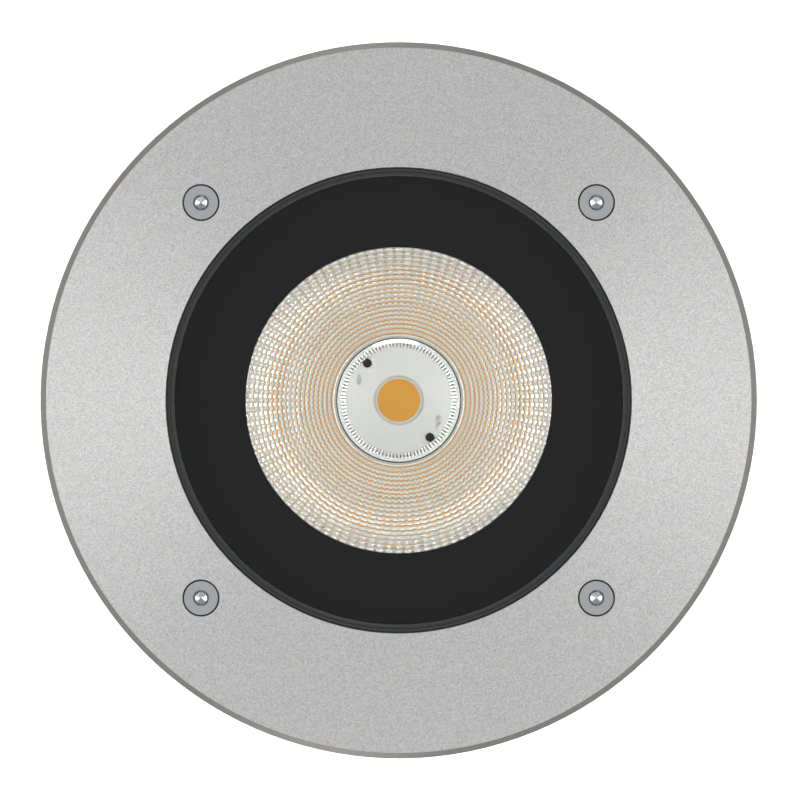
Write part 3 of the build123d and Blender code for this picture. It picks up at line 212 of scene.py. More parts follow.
@dataclass(frozen=True)
class Finish:
    """A solid finish with fine relief, slight colour change and uneven gloss.

    Attributes:
        name: What the real material is.
        colour: Its sRGB hex colour.
        shade: A second sRGB hex colour that it drifts to.
        metallic: 1 for bare metal.
        roughness: Mean roughness.
        spread: How far roughness strays each way.
        grain: How the surface was made.
        grain_mm: Size of one grain, in mm. What is really finer than 0.3 mm is drawn that coarse or
            coarser, so that it shows.
        relief: Strength of the relief.
        specular: Gloss strength, which is 0 for what is bonded to the back of glass.
        drift_mm: Size of the patches in which the colour drifts, in mm.
        drift_from: Share of the second colour that is there everywhere.
        relief_depth: Height of the relief, as a share of a grain.
        drawn_stretch: Scale of a drawn surface's grain along the axis, against 1 across it.
    """

    name: str
    colour: str
    shade: str
    metallic: float
    roughness: float
    spread: float
    grain: Grain
    grain_mm: float
    relief: float
    specular: float = 0.5
    drift_mm: float = 28.0
    drift_from: float = 0.2
    relief_depth: float = 0.4
    drawn_stretch: float = 0.08

    def build(self) -> bpy.types.Material:
        """Make the finish's material.

        Returns:
            The new material.
        """
        material = blank_material(self.name)
        place = add_node(material, "ShaderNodeTexCoord").outputs["Object"]
        along = self.drawn_stretch if self.grain is Grain.DRAWN else 1.0
        mapped = add_node(
            material, "ShaderNodeMapping", {"Vector": place, "Scale": (1.0, 1.0, along)}
        ).outputs["Vector"]
        detail = 4.0 if self.grain is Grain.CAST else 2.0
        fine = add_node(
            material,
            "ShaderNodeTexNoise",
            {"Vector": mapped, "Scale": 1 / (self.grain_mm * MM), "Detail": detail, "Roughness": 0.6},
        ).outputs["Fac"]
        broad = add_node(
            material,
            "ShaderNodeTexNoise",
            {"Vector": place, "Scale": 1 / (self.drift_mm * MM), "Detail": 3.0},
        ).outputs["Fac"]
        both = add_node(
            material, "ShaderNodeMath", {0: fine, 1: broad, 2: self.drift_from}, operation="MULTIPLY_ADD"
        )
        tint = add_node(
            material,
            "ShaderNodeMix",
            {"Factor": both.outputs["Value"], "A": linear(self.colour), "B": linear(self.shade)},
            data_type="RGBA",
        )
        gloss = add_node(
            material,
            "ShaderNodeMapRange",
            {
                "Value": fine,
                "To Min": max(0.02, self.roughness - self.spread),
                "To Max": min(1.0, self.roughness + self.spread),
            },
        )
        bump = add_node(
            material,
            "ShaderNodeBump",
            {"Height": fine, "Strength": self.relief, "Distance": self.grain_mm * MM * self.relief_depth},
        )
        shader = add_node(
            material,
            "ShaderNodeBsdfPrincipled",
            {
                "Base Color": tint.outputs["Result"],
                "Metallic": self.metallic,
                "Roughness": gloss.outputs["Result"],
                "Specular IOR Level": self.specular,
                "Normal": bump.outputs["Normal"],
            },
        )
        add_node(material, "ShaderNodeOutputMaterial", {"Surface": shader.outputs["BSDF"]})
        return material


@dataclass(frozen=True)
class BlastedRing:
    """Stainless steel, turned and then bead-blasted: an even pale grey with a sparkle of tiny pits.

    The turning under the blasting stretches its highlights across the ring, which brightens it left and
    right. The real pits are about 0.1 mm, and are drawn coarser so that they show.

    Attributes:
        colour: sRGB hex colour between the pits.
        shade: sRGB hex colour in the pits.
        roughness: Roughness of the blasted face.
        grain_mm: Size at which a pit is drawn, in mm.
        contrast: Where in the noise a pit's colour starts and where the plain colour is reached.
        relief: Strength of the pits' relief.
        relief_depth: Depth of a pit, as a share of its size.
        anisotropy: How far the turning stretches a highlight.
        bevel_colour: sRGB hex colour of the bevel at the rim.
        bevel_roughness: Its roughness.
        bevel_r: Radius where it starts, in mm.
        painted_shade_colour: Painted shade: a dark sRGB hex colour put on the countersinks and on the bore,
            which face sideways, where it stands for the dark that they mirror.
        painted_shade_tilt: Where the normal's upward part is less than this, the face counts as facing
            sideways and gets the painted shade.
        turning: Turn of the stretched highlight, as a share of a full turn, from round to across the ring.
    """

    colour: str = "#B8B7B6"
    shade: str = "#929190"
    roughness: float = 0.42
    grain_mm: float = 0.45
    contrast: tuple[float, float] = (0.3, 0.7)
    relief: float = 0.55
    relief_depth: float = 0.3
    anisotropy: float = 0.55
    bevel_colour: str = "#8F8D8A"
    bevel_roughness: float = 0.30
    bevel_r: float = 122.95
    painted_shade_colour: str = "#55534F"
    painted_shade_tilt: float = 0.9
    turning: float = 0.25

    def build(self) -> bpy.types.Material:
        """Make the ring's material.

        Returns:
            The new material.
        """
        material = blank_material("blasted_stainless_steel")
        place = add_node(material, "ShaderNodeTexCoord").outputs["Object"]
        pits = add_node(
            material,
            "ShaderNodeTexNoise",
            {"Vector": place, "Scale": 1 / (self.grain_mm * MM), "Detail": 2.0, "Roughness": 0.7},
        ).outputs["Fac"]
        sharp = add_node(
            material,
            "ShaderNodeMapRange",
            {"Value": pits, "From Min": self.contrast[0], "From Max": self.contrast[1]},
        ).outputs["Result"]
        tint = add_node(
            material,
            "ShaderNodeMix",
            {"Factor": sharp, "A": linear(self.shade), "B": linear(self.colour)},
            data_type="RGBA",
        )
        on_bevel = past_radius(material, place, self.bevel_r)
        # Painted shade: faces that face sideways, the countersinks and the bore, are darkened by their
        # normal.
        facing = add_node(
            material, "ShaderNodeSeparateXYZ", {0: add_node(material, "ShaderNodeTexCoord").outputs["Normal"]}
        ).outputs["Z"]
        in_painted_shade = add_node(
            material, "ShaderNodeMath", {0: facing, 1: self.painted_shade_tilt}, operation="LESS_THAN"
        ).outputs["Value"]
        cone = add_node(
            material,
            "ShaderNodeMix",
            {"Factor": in_painted_shade, "A": tint.outputs["Result"], "B": linear(self.painted_shade_colour)},
            data_type="RGBA",
        )
        tone = add_node(
            material,
            "ShaderNodeMix",
            {"Factor": on_bevel, "A": cone.outputs["Result"], "B": linear(self.bevel_colour)},
            data_type="RGBA",
        )
        gloss = add_node(
            material,
            "ShaderNodeMapRange",
            {"Value": on_bevel, "To Min": self.roughness, "To Max": self.bevel_roughness},
        )
        bump = add_node(
            material,
            "ShaderNodeBump",
            {"Height": pits, "Strength": self.relief, "Distance": self.grain_mm * MM * self.relief_depth},
        )
        around = add_node(
            material, "ShaderNodeVectorMath", {0: place, 1: (0.0, 0.0, 1.0)}, operation="CROSS_PRODUCT"
        )
        turned = add_node(material, "ShaderNodeVectorMath", {0: around.outputs[0]}, operation="NORMALIZE")
        shader = add_node(
            material,
            "ShaderNodeBsdfPrincipled",
            {
                "Base Color": tone.outputs["Result"],
                "Metallic": 1.0,
                "Roughness": gloss.outputs["Result"],
                "Anisotropic": self.anisotropy,
                "Anisotropic Rotation": self.turning,
                "Tangent": turned.outputs[0],
                "Normal": bump.outputs["Normal"],
            },
        )
        add_node(material, "ShaderNodeOutputMaterial", {"Surface": shader.outputs["BSDF"]})
        return material


@dataclass(frozen=True)
class SafetyGlass:
    """Toughened glass, clear on its face; its rough bevel has a grey painted reflection that shows as a grey
    line.

    Attributes:
        face_r: Radius in mm where the polished face ends and the bevel starts.
        colour: sRGB hex colour of the glass.
        ior: Its refractive index.
        wave_mm: Size of the faint unevenness that toughening leaves, in mm.
        haze: Most roughness that it gives the face.
        bevel_colour: sRGB hex colour of the bevel: a grey painted reflection that stands for the light it
            catches.
        bevel_roughness: Its roughness.
    """

    face_r: float
    colour: str = "#FBFDFC"
    ior: float = 1.5
    wave_mm: float = 60.0
    haze: float = 0.004
    bevel_colour: str = "#36393B"
    bevel_roughness: float = 0.38

    def build(self) -> bpy.types.Material:
        """Make the glass, which lets light through to what lies under it.

        Returns:
            The new material.
        """
        material = blank_material("toughened_glass")
        place = add_node(material, "ShaderNodeTexCoord").outputs["Object"]
        on_glass_bevel = past_radius(material, place, self.face_r)
        waves = add_node(
            material, "ShaderNodeTexNoise", {"Vector": place, "Scale": 1 / (self.wave_mm * MM)}
        ).outputs["Fac"]
        rough = add_node(
            material, "ShaderNodeMapRange", {"Value": waves, "To Min": 0.0, "To Max": self.haze}
        ).outputs["Result"]
        clear = add_node(
            material,
            "ShaderNodeBsdfPrincipled",
            {
                "Base Color": linear(self.colour),
                "Roughness": rough,
                "IOR": self.ior,
                "Transmission Weight": 1.0,
            },
        )
        # Painted reflection: the bevel's opaque grey stands for the light that the clear bevel reflects.
        bevel = add_node(
            material,
            "ShaderNodeBsdfPrincipled",
            {"Base Color": linear(self.bevel_colour), "Roughness": self.bevel_roughness, "IOR": self.ior},
        )
        body = add_node(
            material,
            "ShaderNodeMixShader",
            {0: on_glass_bevel, 1: clear.outputs["BSDF"], 2: bevel.outputs["BSDF"]},
        )
        rays = add_node(material, "ShaderNodeLightPath").outputs
        passing = add_node(
            material,
            "ShaderNodeMath",
            {0: rays["Is Shadow Ray"], 1: rays["Is Diffuse Ray"]},
            operation="MAXIMUM",
        )
        through = add_node(material, "ShaderNodeBsdfTransparent")
        surface = add_node(
            material,
            "ShaderNodeMixShader",
            {0: passing.outputs["Value"], 1: body.outputs["Shader"], 2: through.outputs["BSDF"]},
        )
        add_node(material, "ShaderNodeOutputMaterial", {"Surface": surface.outputs["Shader"]})
        return material


# Stainless steel, turned or drawn and left bare: a cool grey whose highlights are soft streaks.
STAINLESS = Finish(
    name="plain_stainless_steel", colour="#A9ABAE", shade="#8E9093",
    metallic=1.0, roughness=0.30, spread=0.06,
    grain=Grain.DRAWN, grain_mm=0.4, relief=0.05,
)
# Ceramic ink fired on the back of the glass: a deep, even black with no gloss of its own.
ENAMEL = Finish(
    name="fired_black_enamel", colour="#0B0B0D", shade="#0D0D0F",
    metallic=0.0, roughness=0.50, spread=0.05,
    grain=Grain.MOULDED, grain_mm=1.2, relief=0.0, specular=0.0,
)
# Moulded silicone: a soft black that hardly shines.
SILICONE = Finish(
    name="black_silicone", colour="#0E0E0F", shade="#151516",
    metallic=0.0, roughness=0.62, spread=0.06,
    grain=Grain.MOULDED, grain_mm=0.8, relief=0.06,
)
# Powder baked on a casting: near black, with a fine orange peel that breaks up its highlights.
POWDER = Finish(
    name="black_powder_coat", colour="#1B1C1E", shade="#26272A",
    metallic=0.0, roughness=0.52, spread=0.10,
    grain=Grain.CAST, grain_mm=0.7, relief=0.45,
)
# Zinc-plated sheet steel: a light grey metal with faint rolling streaks.
ZINC = Finish(
    name="zinc_plated_sheet", colour="#B9BABB", shade="#A5A8AE",
    metallic=1.0, roughness=0.34, spread=0.08,
    grain=Grain.DRAWN, grain_mm=1.5, relief=0.06,
)
# Moulded ABS: a warm white, half matt.
DRIVER_CASE = Finish(
    name="white_moulded_abs", colour="#DCDCD8", shade="#D2D2CE",
    metallic=0.0, roughness=0.50, spread=0.05,
    grain=Grain.MOULDED, grain_mm=0.5, relief=0.15,
)
# Moulded polyamide, undyed: ivory, a little waxy.
TERMINAL = Finish(
    name="natural_polyamide", colour="#DDD9CB", shade="#D2CDBE",
    metallic=0.0, roughness=0.45, spread=0.06,
    grain=Grain.MOULDED, grain_mm=0.6, relief=0.12,
)
# Moulded black polyamide: black with a dull sheen.
GLAND = Finish(
    name="black_polyamide", colour="#1C1C1D", shade="#242425",
    metallic=0.0, roughness=0.42, spread=0.06,
    grain=Grain.MOULDED, grain_mm=0.5, relief=0.20,
)
# Turned brass: a yellow metal with fine streaks.
BRASS = Finish(
    name="plain_brass", colour="#C9A458", shade="#B58F47",
    metallic=1.0, roughness=0.28, spread=0.06,
    grain=Grain.DRAWN, grain_mm=0.4, relief=0.05,
)
# Aluminium left as it was cast: pale grey and grainy, with blurred highlights.
CAST_ALUMINIUM = Finish(
    name="plain_cast_aluminium", colour="#B4B5B6", shade="#9FA1A3",
    metallic=1.0, roughness=0.48, spread=0.08,
    grain=Grain.CAST, grain_mm=0.9, relief=0.30,
)
# Extruded aluminium: bright grey with fine lines.
EXTRUDED = Finish(
    name="extruded_aluminium", colour="#C0C2C4", shade="#B0B2B5",
    metallic=1.0, roughness=0.34, spread=0.06,
    grain=Grain.DRAWN, grain_mm=0.8, relief=0.10,
)
# Sprayed matt paint: a black that stays flat under the glass.
BLACK_PAINT = Finish(
    name="matt_black_paint", colour="#17181A", shade="#1E1F21",
    metallic=0.0, roughness=0.60, spread=0.08,
    grain=Grain.MOULDED, grain_mm=0.6, relief=0.15,
)
# Filled silicone sheet: a dull blue grey without shine.
THERMAL_PAD = Finish(
    name="thermal_pad", colour="#8C9299", shade="#7F858C",
    metallic=0.0, roughness=0.75, spread=0.05,
    grain=Grain.MOULDED, grain_mm=0.6, relief=0.15,
)
# Pressed ceramic: a clean white, slightly glossy.
CERAMIC = Finish(
    name="white_ceramic_board", colour="#ECECE8", shade="#E2E2DE",
    metallic=0.0, roughness=0.35, spread=0.05,
    grain=Grain.MOULDED, grain_mm=0.5, relief=0.05,
)
# Phosphor in cast silicone, unlit: a matt amber.
PHOSPHOR = Finish(
    name="unlit_phosphor", colour="#F6B144", shade="#EEA73E",
    metallic=0.0, roughness=0.55, spread=0.05,
    grain=Grain.MOULDED, grain_mm=0.35, relief=0.10, specular=0.3,
)
# Moulded PBT: a bright white, half matt.
HOLDER = Finish(
    name="white_moulded_pbt", colour="#F7F8F3", shade="#F2F3EE",
    metallic=0.0, roughness=0.45, spread=0.06,
    grain=Grain.MOULDED, grain_mm=0.5, relief=0.10,
)
# Chemically blackened steel: dark, with a grey metallic sheen.
BLACK_OXIDE = Finish(
    name="black_oxide_steel", colour="#1E1F20", shade="#2A2B2C",
    metallic=0.6, roughness=0.42, spread=0.08,
    grain=Grain.MOULDED, grain_mm=0.4, relief=0.10,
)
# Tin-plated bronze strip: a pale metal with blurred reflections.
TINNED = Finish(
    name="tin_plated_bronze", colour="#CFCFCD", shade="#C2C2C0",
    metallic=1.0, roughness=0.40, spread=0.06,
    grain=Grain.DRAWN, grain_mm=0.3, relief=0.05,
)
# Aluminium laid in vacuum on moulded plastic: a clear mirror that is only faintly soft.
MIRROR = Finish(
    name="vacuum_metallised_film", colour="#F9F9F7", shade="#F6F5F3",
    metallic=1.0, roughness=0.04, spread=0.015,
    grain=Grain.MOULDED, grain_mm=1.0, relief=0.01,
)


# ------------------------------------------------------------------ sub-assemblies
@dataclass
class Dressing:
    """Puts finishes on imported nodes, making each finish only once.

    Attributes:
        nodes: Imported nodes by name.
        made: Materials made so far.
    """

    nodes: dict[str, bpy.types.Object]
    made: dict[str, bpy.types.Material] = field(default_factory=dict)

    def material(self, finish: Finish | BlastedRing | SafetyGlass) -> bpy.types.Material:
        """Give the finish's material, which is made on its first use.

        Args:
            finish: The finish.

        Returns:
            Its material.
        """
        key = repr(finish)
        if key not in self.made:
            self.made[key] = finish.build()
        return self.made[key]

    def dress(self, finish: Finish | BlastedRing | SafetyGlass, names: Iterable[str]) -> None:
        """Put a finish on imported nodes.

        Args:
            finish: The finish.
            names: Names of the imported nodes.
        """
        for name in names:
            node = self.nodes[name]
            node.data.materials.clear()
            node.data.materials.append(self.material(finish))
            log.info("%s: %s", name, self.material(finish).name)


@dataclass
class FacetedReflector:
    """Mirror with softly bulging facets, standing for the flat-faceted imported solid.

    Attributes:
        columns: Facets round the mirror.
        rows: Facet rows from throat to mouth.
        row_cuts: Pieces that each facet is divided into, up the mirror.
        column_cuts: Pieces that each facet is divided into, round the mirror.
        mouth_r: Radius at the mouth.
        throat_r: Radius where the facets start.
        focal: Focal length of the parabola.
        wall: Thickness of the shell.
        rim_width: Width of the flat rim.
        rim_t: Thickness of the flat rim.
        collar: Corners of the collar as (radius, height over the bore edge), from the bore to the facets. The
            lower cone carries the flutes, which show as fine ticks, and the narrow steep step near the facets
            is a mould edge, which mirrors the black border as a thin dark line.
        flute_to: Corners of the collar inside this radius are fluted, and the flutes run out at the next one.
        flute: Flute's depth as a share of its width.
        row_bulge: Facet's crown as a share of its height up the mirror, at the throat and at the mouth.
        column_bulge: Facet's crown as a share of its width round the mirror, at the throat and at the mouth.
        crown_at: Where the crown lies between a facet's lower and upper edge, at the throat and at the mouth.
        arch: How far a facet's edges bow up the mirror, as a share of a row.
        skin_steps: Straight steps of the plain outer skin.
        crease: Angle in degrees past which an edge between facets is crisp.
        collar_crease: Angle in degrees past which an edge of the collar is crisp.
        collar_margin: How far inside the throat an edge lies that counts as the collar's.
    """

    columns: int = 100
    rows: int = 20
    row_cuts: int = 6
    column_cuts: int = 6
    mouth_r: float = 55.5
    throat_r: float = 23.3
    focal: float = 10.1
    wall: float = 1.5
    rim_width: float = 3.0
    rim_t: float = 1.2
    collar: tuple[tuple[float, float], ...] = (
        (18.7, 0.0),
        (19.2, 0.93),
        (20.75, 1.754),
        (22.1, 2.104),
        (22.5, 2.29),
    )
    flute_to: float = 20.7
    flute: float = 0.2
    row_bulge: tuple[float, float] = (0.023, 0.076)
    column_bulge: tuple[float, float] = (0.04, 0.042)
    crown_at: tuple[float, float] = (0.24, 0.3)
    arch: float = 0.3
    skin_steps: int = 5
    crease: float = 12.0
    collar_crease: float = 6.0
    collar_margin: float = 0.01

    def vertex_z(self, rim_z: float) -> float:
        """Height of the parabola's lowest point, in mm, when its rim lies at a height in mm."""
        return rim_z - self.mouth_r**2 / (4 * self.focal)

    def profile(self, rim_z: float, low_z: float) -> list[Vector]:
        """Closed outline: up the mirror, over the rim and back down the outer skin.

        Args:
            rim_z: Height of the rim, in mm.
            low_z: Height of the collar's bore edge, in mm.

        Returns:
            Points in the XZ plane, in metres.
        """
        vertex_z = self.vertex_z(rim_z)
        points = [(radius, low_z + rise) for radius, rise in self.collar]
        step = (self.mouth_r - self.throat_r) / (self.rows * self.row_cuts)
        for at in range(self.rows * self.row_cuts + 1):
            radius = self.throat_r + step * at
            points.append((radius, vertex_z + radius**2 / (4 * self.focal)))
        rim_r = self.mouth_r + self.rim_width
        points += [(rim_r, rim_z), (rim_r, rim_z - self.rim_t)]
        step = (self.mouth_r - self.throat_r) / self.skin_steps
        for at in range(self.skin_steps, -1, -1):
            radius = self.throat_r + step * at
            height = min(vertex_z + radius**2 / (4 * self.focal), rim_z - self.rim_t)
            points.append((radius + self.wall, height))
        points += [(self.throat_r + self.wall, low_z), (self.collar[0][0], low_z)]
        return [Vector((x * MM, 0, z * MM)) for x, z in points]

    def inward(self, radius: float) -> Vector:
        """Unit vector from the mirror at a radius towards the light, as (outward, up)."""
        slope = radius / (2 * self.focal)
        return Vector((-slope, 1.0)).normalized()

    def crown(self, share: float, peak: float) -> float:
        """Height of a facet's lengthwise arch.

        Args:
            share: Place between the facet's lower and upper edge, from 0 to 1.
            peak: Where the crown lies, on the same scale.

        Returns:
            0 at the facet's edges and 1 at its crown.
        """
        side = peak if share < peak else 1 - peak
        return 1 - ((share - peak) / side) ** 2

    def cushion(self, radius: float, across: float) -> tuple[float, float]:
        """Where a point of the mirror goes when its facet swells and its edges bow.

        Args:
            radius: The point's radius, in mm.
            across: 0 at a column's borders and 1 in its middle.

        Returns:
            The point's new radius, and how far it stands off the mirror, in mm.
        """
        pitch = (self.mouth_r - self.throat_r) / self.rows
        row = (radius - self.throat_r) / pitch
        up = row / self.rows
        row_bulge, column_bulge, peak = (
            low + (high - low) * up for low, high in (self.row_bulge, self.column_bulge, self.crown_at)
        )
        slant = pitch * math.hypot(1, radius / (2 * self.focal))
        width = 2 * math.pi * radius / self.columns
        lengthwise = row_bulge * slant * self.crown(round(row % 1.0, 6) % 1.0, peak)
        height = lengthwise + column_bulge * width * across
        held = min(1.0, row, self.rows - row)
        return radius + self.arch * across * pitch * held, height

    def swell(self, mesh: bmesh.types.BMesh, rim_z: float, low_z: float) -> None:
        """Swell every facet to a shallow cushion with bowed edges, and flute the collar's bore.

        Args:
            mesh: The spun reflector.
            rim_z: Height of the rim, in mm.
            low_z: Height of the collar's bore edge, in mm.
        """
        vertex_z = self.vertex_z(rim_z)
        for vertex in mesh.verts:
            radius = math.hypot(vertex.co.x, vertex.co.y) / MM
            height = vertex.co.z / MM
            turn = math.atan2(vertex.co.y, vertex.co.x) / (2 * math.pi) * self.columns % 1.0
            across = 4 * turn * (1 - turn)
            heading = Vector((vertex.co.x, vertex.co.y, 0)).normalized()
            on_mirror = abs(height - vertex_z - radius**2 / (4 * self.focal)) < NEAR
            if on_mirror and self.throat_r + NEAR < radius < self.mouth_r - NEAR:
                moved, off = self.cushion(radius, across)
                out, up = self.inward(moved) * off
                there = vertex_z + moved**2 / (4 * self.focal)
                vertex.co = (heading * (moved + out) + Vector((0, 0, there + up))) * MM
            elif low_z + NEAR < height and radius < self.flute_to:
                width = 2 * math.pi * radius / self.columns
                vertex.co += heading * -self.flute * width * across * MM

    def build(self, dressing: Dressing) -> bpy.types.Object:
        """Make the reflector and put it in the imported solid's place.

        Args:
            dressing: Where finishes come from.

        Returns:
            The reflector's object.
        """
        low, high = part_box("reflector")
        mesh = spun(self.profile(high.z / MM, low.z / MM), self.columns * self.column_cuts)
        self.swell(mesh, high.z / MM, low.z / MM)
        bmesh.ops.recalc_face_normals(mesh, faces=mesh.faces)
        for face in mesh.faces:
            face.smooth = True
        collar_r = (self.throat_r - self.collar_margin) * MM
        for edge in mesh.edges:
            inside = all(vertex.co.xy.length < collar_r for vertex in edge.verts)
            limit = self.collar_crease if inside else self.crease
            if edge.calc_face_angle(0.0) > math.radians(limit):
                edge.smooth = False
        piece = add_piece("faceted_reflector", mesh, dressing.material(MIRROR))
        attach(piece, "optic")
        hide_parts("reflector")
        log.info("faceted_reflector: %d facets", self.columns * self.rows)
        return piece


@dataclass
class Cover:
    """Face ring, screws, glass, border and gasket.

    Attributes:
        glass_face_r: Radius where the glass's polished face ends.
        aperture_r: Radius of the clear aperture in the fired border.
        border_gap: How far the border's face lies under the glass, so that the two faces never coincide.
        border_steps: Straight steps round the border.
    """

    glass_face_r: float = 78.4
    aperture_r: float = 53.5
    border_gap: float = 0.03
    border_steps: int = 360

    def border(self, dressing: Dressing) -> bpy.types.Object:
        """Make the black border as a thin ring under the glass.

        Args:
            dressing: Where finishes come from.

        Returns:
            The border's object.
        """
        low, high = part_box("glass_border")
        inner = self.aperture_r * MM
        top = high.z - self.border_gap * MM
        corners = ((inner, low.z), (high.x, low.z), (high.x, top), (inner, top), (inner, low.z))
        mesh = spun([Vector((x, 0, z)) for x, z in corners], self.border_steps)
        bmesh.ops.recalc_face_normals(mesh, faces=mesh.faces)
        piece = add_piece("fired_border", mesh, dressing.material(ENAMEL))
        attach(piece, "housing")
        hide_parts("glass_border")
        log.info("fired_border: %.0f mm aperture", 2 * self.aperture_r)
        return piece

    def dress(self, dressing: Dressing) -> None:
        """Make the border and put the cover's finishes on.

        Args:
            dressing: Where finishes come from.
        """
        self.border(dressing)
        dressing.dress(BlastedRing(), ["trim_ring"])
        dressing.dress(STAINLESS, ["cover_screws"])
        dressing.dress(SafetyGlass(self.glass_face_r), ["glass_lens"])
        dressing.dress(ENAMEL, ["glass_border"])
        dressing.dress(SILICONE, ["glass_gasket"])


@dataclass
class LightSource:
    """Phosphor, board, holder and the heat sink under them."""

    def dress(self, dressing: Dressing) -> None:
        """Put the light source's finishes on.

        Args:
            dressing: Where finishes come from.
        """
        dressing.dress(PHOSPHOR, ["cob_phosphor"])
        dressing.dress(CERAMIC, ["cob_substrate"])
        dressing.dress(HOLDER, ["cob_holder"])
        dressing.dress(BLACK_OXIDE, ["holder_screws"])
        dressing.dress(TINNED, ["contact_springs"])
        dressing.dress(EXTRUDED, ["heat_sink"])
        dressing.dress(THERMAL_PAD, ["thermal_pad"])
        dressing.dress(STAINLESS, ["sink_screws"])


@dataclass
class Aiming:
    """Swivel ring, tilting frame and what holds them."""

    def dress(self, dressing: Dressing) -> None:
        """Put the aiming pieces' finishes on.

        Args:
            dressing: Where finishes come from.
        """
        dressing.dress(ZINC, ["swivel_ring", "swivel_clips"])
        dressing.dress(CAST_ALUMINIUM, ["optic_frame", "swivel_brackets"])
        dressing.dress(STAINLESS, ["bracket_screws", "clip_screws", "pivot_screws", "stop_pins"])
        dressing.dress(BLACK_PAINT, ["reflector_retainer"])
        dressing.dress(BLACK_OXIDE, ["retainer_screws"])


@dataclass
class Body:
    """Flange casting, barrel, gear case, gland and breather."""

    def dress(self, dressing: Dressing) -> None:
        """Put the housing's and the gear's finishes on.

        Args:
            dressing: Where finishes come from.
        """
        dressing.dress(POWDER, ["housing_flange", "housing", "gear_case"])
        dressing.dress(ZINC, ["gear_tray"])
        dressing.dress(STAINLESS, ["flange_screws", "tray_screws", "driver_screws", "case_screws"])
        dressing.dress(SILICONE, ["flange_seal", "case_seal", "tray_grommet"])
        dressing.dress(SILICONE, ["gland_washer", "gland_seal", "breather_seal"])
        dressing.dress(DRIVER_CASE, ["driver"])
        dressing.dress(TERMINAL, ["terminal_block"])
        dressing.dress(BRASS, ["terminal_screws", "earth_screw"])
        dressing.dress(GLAND, ["gland_body", "gland_nut", "gland_locknut", "breather_plug"])


# ------------------------------------------------------------------ studio
@dataclass(frozen=True)
class SoftLamp:
    """One rectangular lamp that faces the light's top.

    Attributes:
        name: Its name.
        place: Its place, in metres.
        size: Its width and height, in metres.
        watts: Its power.
        aim_z: Height of the point that it faces, in metres.
    """

    name: str
    place: tuple[float, float, float]
    size: tuple[float, float]
    watts: float
    aim_z: float = 0.2

    def hang(self) -> None:
        """Put the lamp in the scene."""
        data = bpy.data.lights.new(self.name, "AREA")
        data.shape = "RECTANGLE"
        data.size, data.size_y = self.size
        data.energy = self.watts
        lamp = bpy.data.objects.new(self.name, data)
        lamp.location = self.place
        aim = Vector((0, 0, self.aim_z)) - Vector(self.place)
        lamp.rotation_euler = aim.to_track_quat("-Z", "Y").to_euler()
        bpy.context.scene.collection.objects.link(lamp)


@dataclass(frozen=True)
class SkyStep:
    """One smooth change of the room's brightness with height.

    Attributes:
        heights: Where it starts and ends, as the sine of the angle over the horizon.
        levels: Brightness below it and above it.
    """

    heights: tuple[float, float]
    levels: tuple[float, float]

    def build(self, world: bpy.types.World, height: bpy.types.NodeSocket) -> bpy.types.NodeSocket:
        """Add the step to the room.

        Args:
            world: The room's world.
            height: Height of the direction looked in, on the same scale.

        Returns:
            The step's brightness.
        """
        return add_node(
            world,
            "ShaderNodeMapRange",
            {
                "Value": height,
                "From Min": self.heights[0],
                "From Max": self.heights[1],
                "To Min": self.levels[0],
                "To Max": self.levels[1],
            },
            interpolation_type="SMOOTHSTEP",
        ).outputs["Result"]


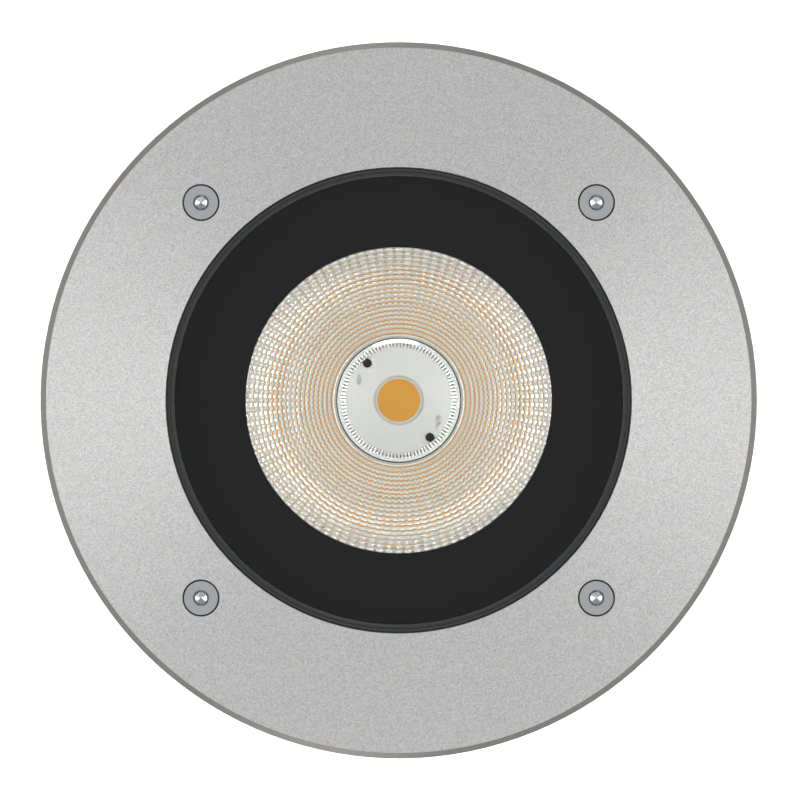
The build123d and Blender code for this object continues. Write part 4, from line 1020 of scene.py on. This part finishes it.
@dataclass
class Studio:
    """Pale floor, soft light and a camera straight above.

    Attributes:
        distance: Camera to the ring's face.
        width: What the picture spans at the ring's face.
        sensor: Camera's sensor width.
        clip_end: How far the camera sees, in metres.
        object_px: Where the ring's centre lies in the picture.
        picture_px: Width of the picture in which it lies there.
        rising: Brightness that grows from the horizon up.
        ceiling: The step up to the bright ceiling, 31 to 21 degrees off the zenith.
        overhead: The step down to the dim spot over the light, 10 to 4 degrees off the zenith.
        floor_half: Half the floor's width, in metres.
        floor_colour: sRGB hex colour of the floor.
        floor_lift: What the floor's own glow adds where the camera sees it.
        lamps: Soft lamps round the light.
    """

    distance: float = 2900.0
    width: float = 278.9
    sensor: float = 36.0
    clip_end: float = 20.0
    object_px: tuple[float, float] = (398.7, 400.3)
    picture_px: float = 800.0
    rising: SkyStep = SkyStep((0.05, 0.7), (0.3, 0.75))
    ceiling: SkyStep = SkyStep((0.86, 0.935), (0.5, 1.0))
    overhead: SkyStep = SkyStep((0.985, 0.9976), (2.0, 0.28))
    floor_half: float = 4.0
    floor_colour: str = "#F4F4F4"
    floor_lift: float = 0.45
    lamps: tuple[SoftLamp, ...] = (
        SoftLamp("left_bank", (-1.58, 0.0, 1.84), (1.3, 0.6), 25.0),
        SoftLamp("right_bank", (1.58, 0.0, 1.84), (1.3, 0.6), 24.0),
        SoftLamp("front_strip", (-0.3, -1.6, 0.7), (0.6, 0.6), 2.5),
        SoftLamp("back_strip", (-0.2, 1.6, 0.9), (0.6, 0.6), 3.0),
        SoftLamp("sky_panel", (0.08, -1.35, 2.15), (2.3, 0.6), 6.5),
    )

    def camera(self, top: float) -> None:
        """Put the camera over the light's centre, looking down.

        Args:
            top: Height of the ring's face, in metres.
        """
        data = bpy.data.cameras.new("camera")
        data.sensor_width = self.sensor
        data.lens = self.sensor * self.distance / self.width
        data.clip_end = self.clip_end
        centre = self.picture_px / 2
        data.shift_x = (centre - self.object_px[0]) / self.picture_px
        data.shift_y = (self.object_px[1] - centre) / self.picture_px
        camera = bpy.data.objects.new("camera", data)
        camera.location = (0, 0, top + self.distance * MM)
        bpy.context.scene.collection.objects.link(camera)
        bpy.context.scene.camera = camera

    def surroundings(self) -> None:
        """Give the room: pale light that is brightest 10 to 21 degrees off the zenith and dim overhead."""
        world = bpy.data.worlds.new("studio")
        world.use_nodes = True
        world.node_tree.nodes.clear()
        bpy.context.scene.world = world
        place = add_node(world, "ShaderNodeTexCoord").outputs["Generated"]
        height = add_node(world, "ShaderNodeSeparateXYZ", {0: place}).outputs["Z"]
        rising, overhead, ceiling = (
            step.build(world, height) for step in (self.rising, self.overhead, self.ceiling)
        )
        dome = add_node(
            world, "ShaderNodeMath", {0: ceiling, 1: overhead}, operation="MULTIPLY"
        ).outputs["Value"]
        level = add_node(
            world, "ShaderNodeMath", {0: rising, 1: dome}, operation="MULTIPLY"
        ).outputs["Value"]
        rays = add_node(world, "ShaderNodeLightPath").outputs
        seen = add_node(
            world, "ShaderNodeMix", {"Factor": rays["Is Camera Ray"], "A": level, "B": 1.0}
        ).outputs["Result"]
        shade = add_node(world, "ShaderNodeBackground", {"Color": linear("#FFFFFF"), "Strength": seen})
        add_node(world, "ShaderNodeOutputWorld", {"Surface": shade.outputs["Background"]})

    def floor(self) -> None:
        """Lay a pale floor under the standing light."""
        material = blank_material("pale_floor")
        rays = add_node(material, "ShaderNodeLightPath").outputs
        matt = add_node(material, "ShaderNodeBsdfDiffuse", {"Color": linear(self.floor_colour)})
        lift = add_node(
            material, "ShaderNodeMath", {0: rays["Is Camera Ray"], 1: self.floor_lift}, operation="MULTIPLY"
        )
        glow = add_node(material, "ShaderNodeEmission", {"Strength": lift.outputs["Value"]})
        total = add_node(
            material, "ShaderNodeAddShader", {0: matt.outputs["BSDF"], 1: glow.outputs["Emission"]}
        )
        add_node(material, "ShaderNodeOutputMaterial", {"Surface": total.outputs["Shader"]})
        mesh = bmesh.new()
        bmesh.ops.create_grid(mesh, x_segments=1, y_segments=1, size=self.floor_half)
        floor = add_piece("floor", mesh, material)

    def build(self, top: float) -> None:
        """Set the studio up around the light.

        Args:
            top: Height of the ring's face, in metres.
        """
        self.camera(top)
        self.surroundings()
        self.floor()
        for lamp in self.lamps:
            lamp.hang()


# ------------------------------------------------------------------ the whole light
def main() -> None:
    """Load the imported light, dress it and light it."""
    logging.basicConfig(level=logging.INFO, format="%(message)s")
    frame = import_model()
    bpy.context.scene.view_settings.view_transform = "Standard"
    dressing = Dressing(frame["nodes"])
    for assembly in (Cover(), LightSource(), Aiming(), Body()):
        assembly.dress(dressing)
    FacetedReflector().build(dressing)
    Studio().build(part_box("trim_ring")[1].z)


if __name__ == "__main__":
    main()
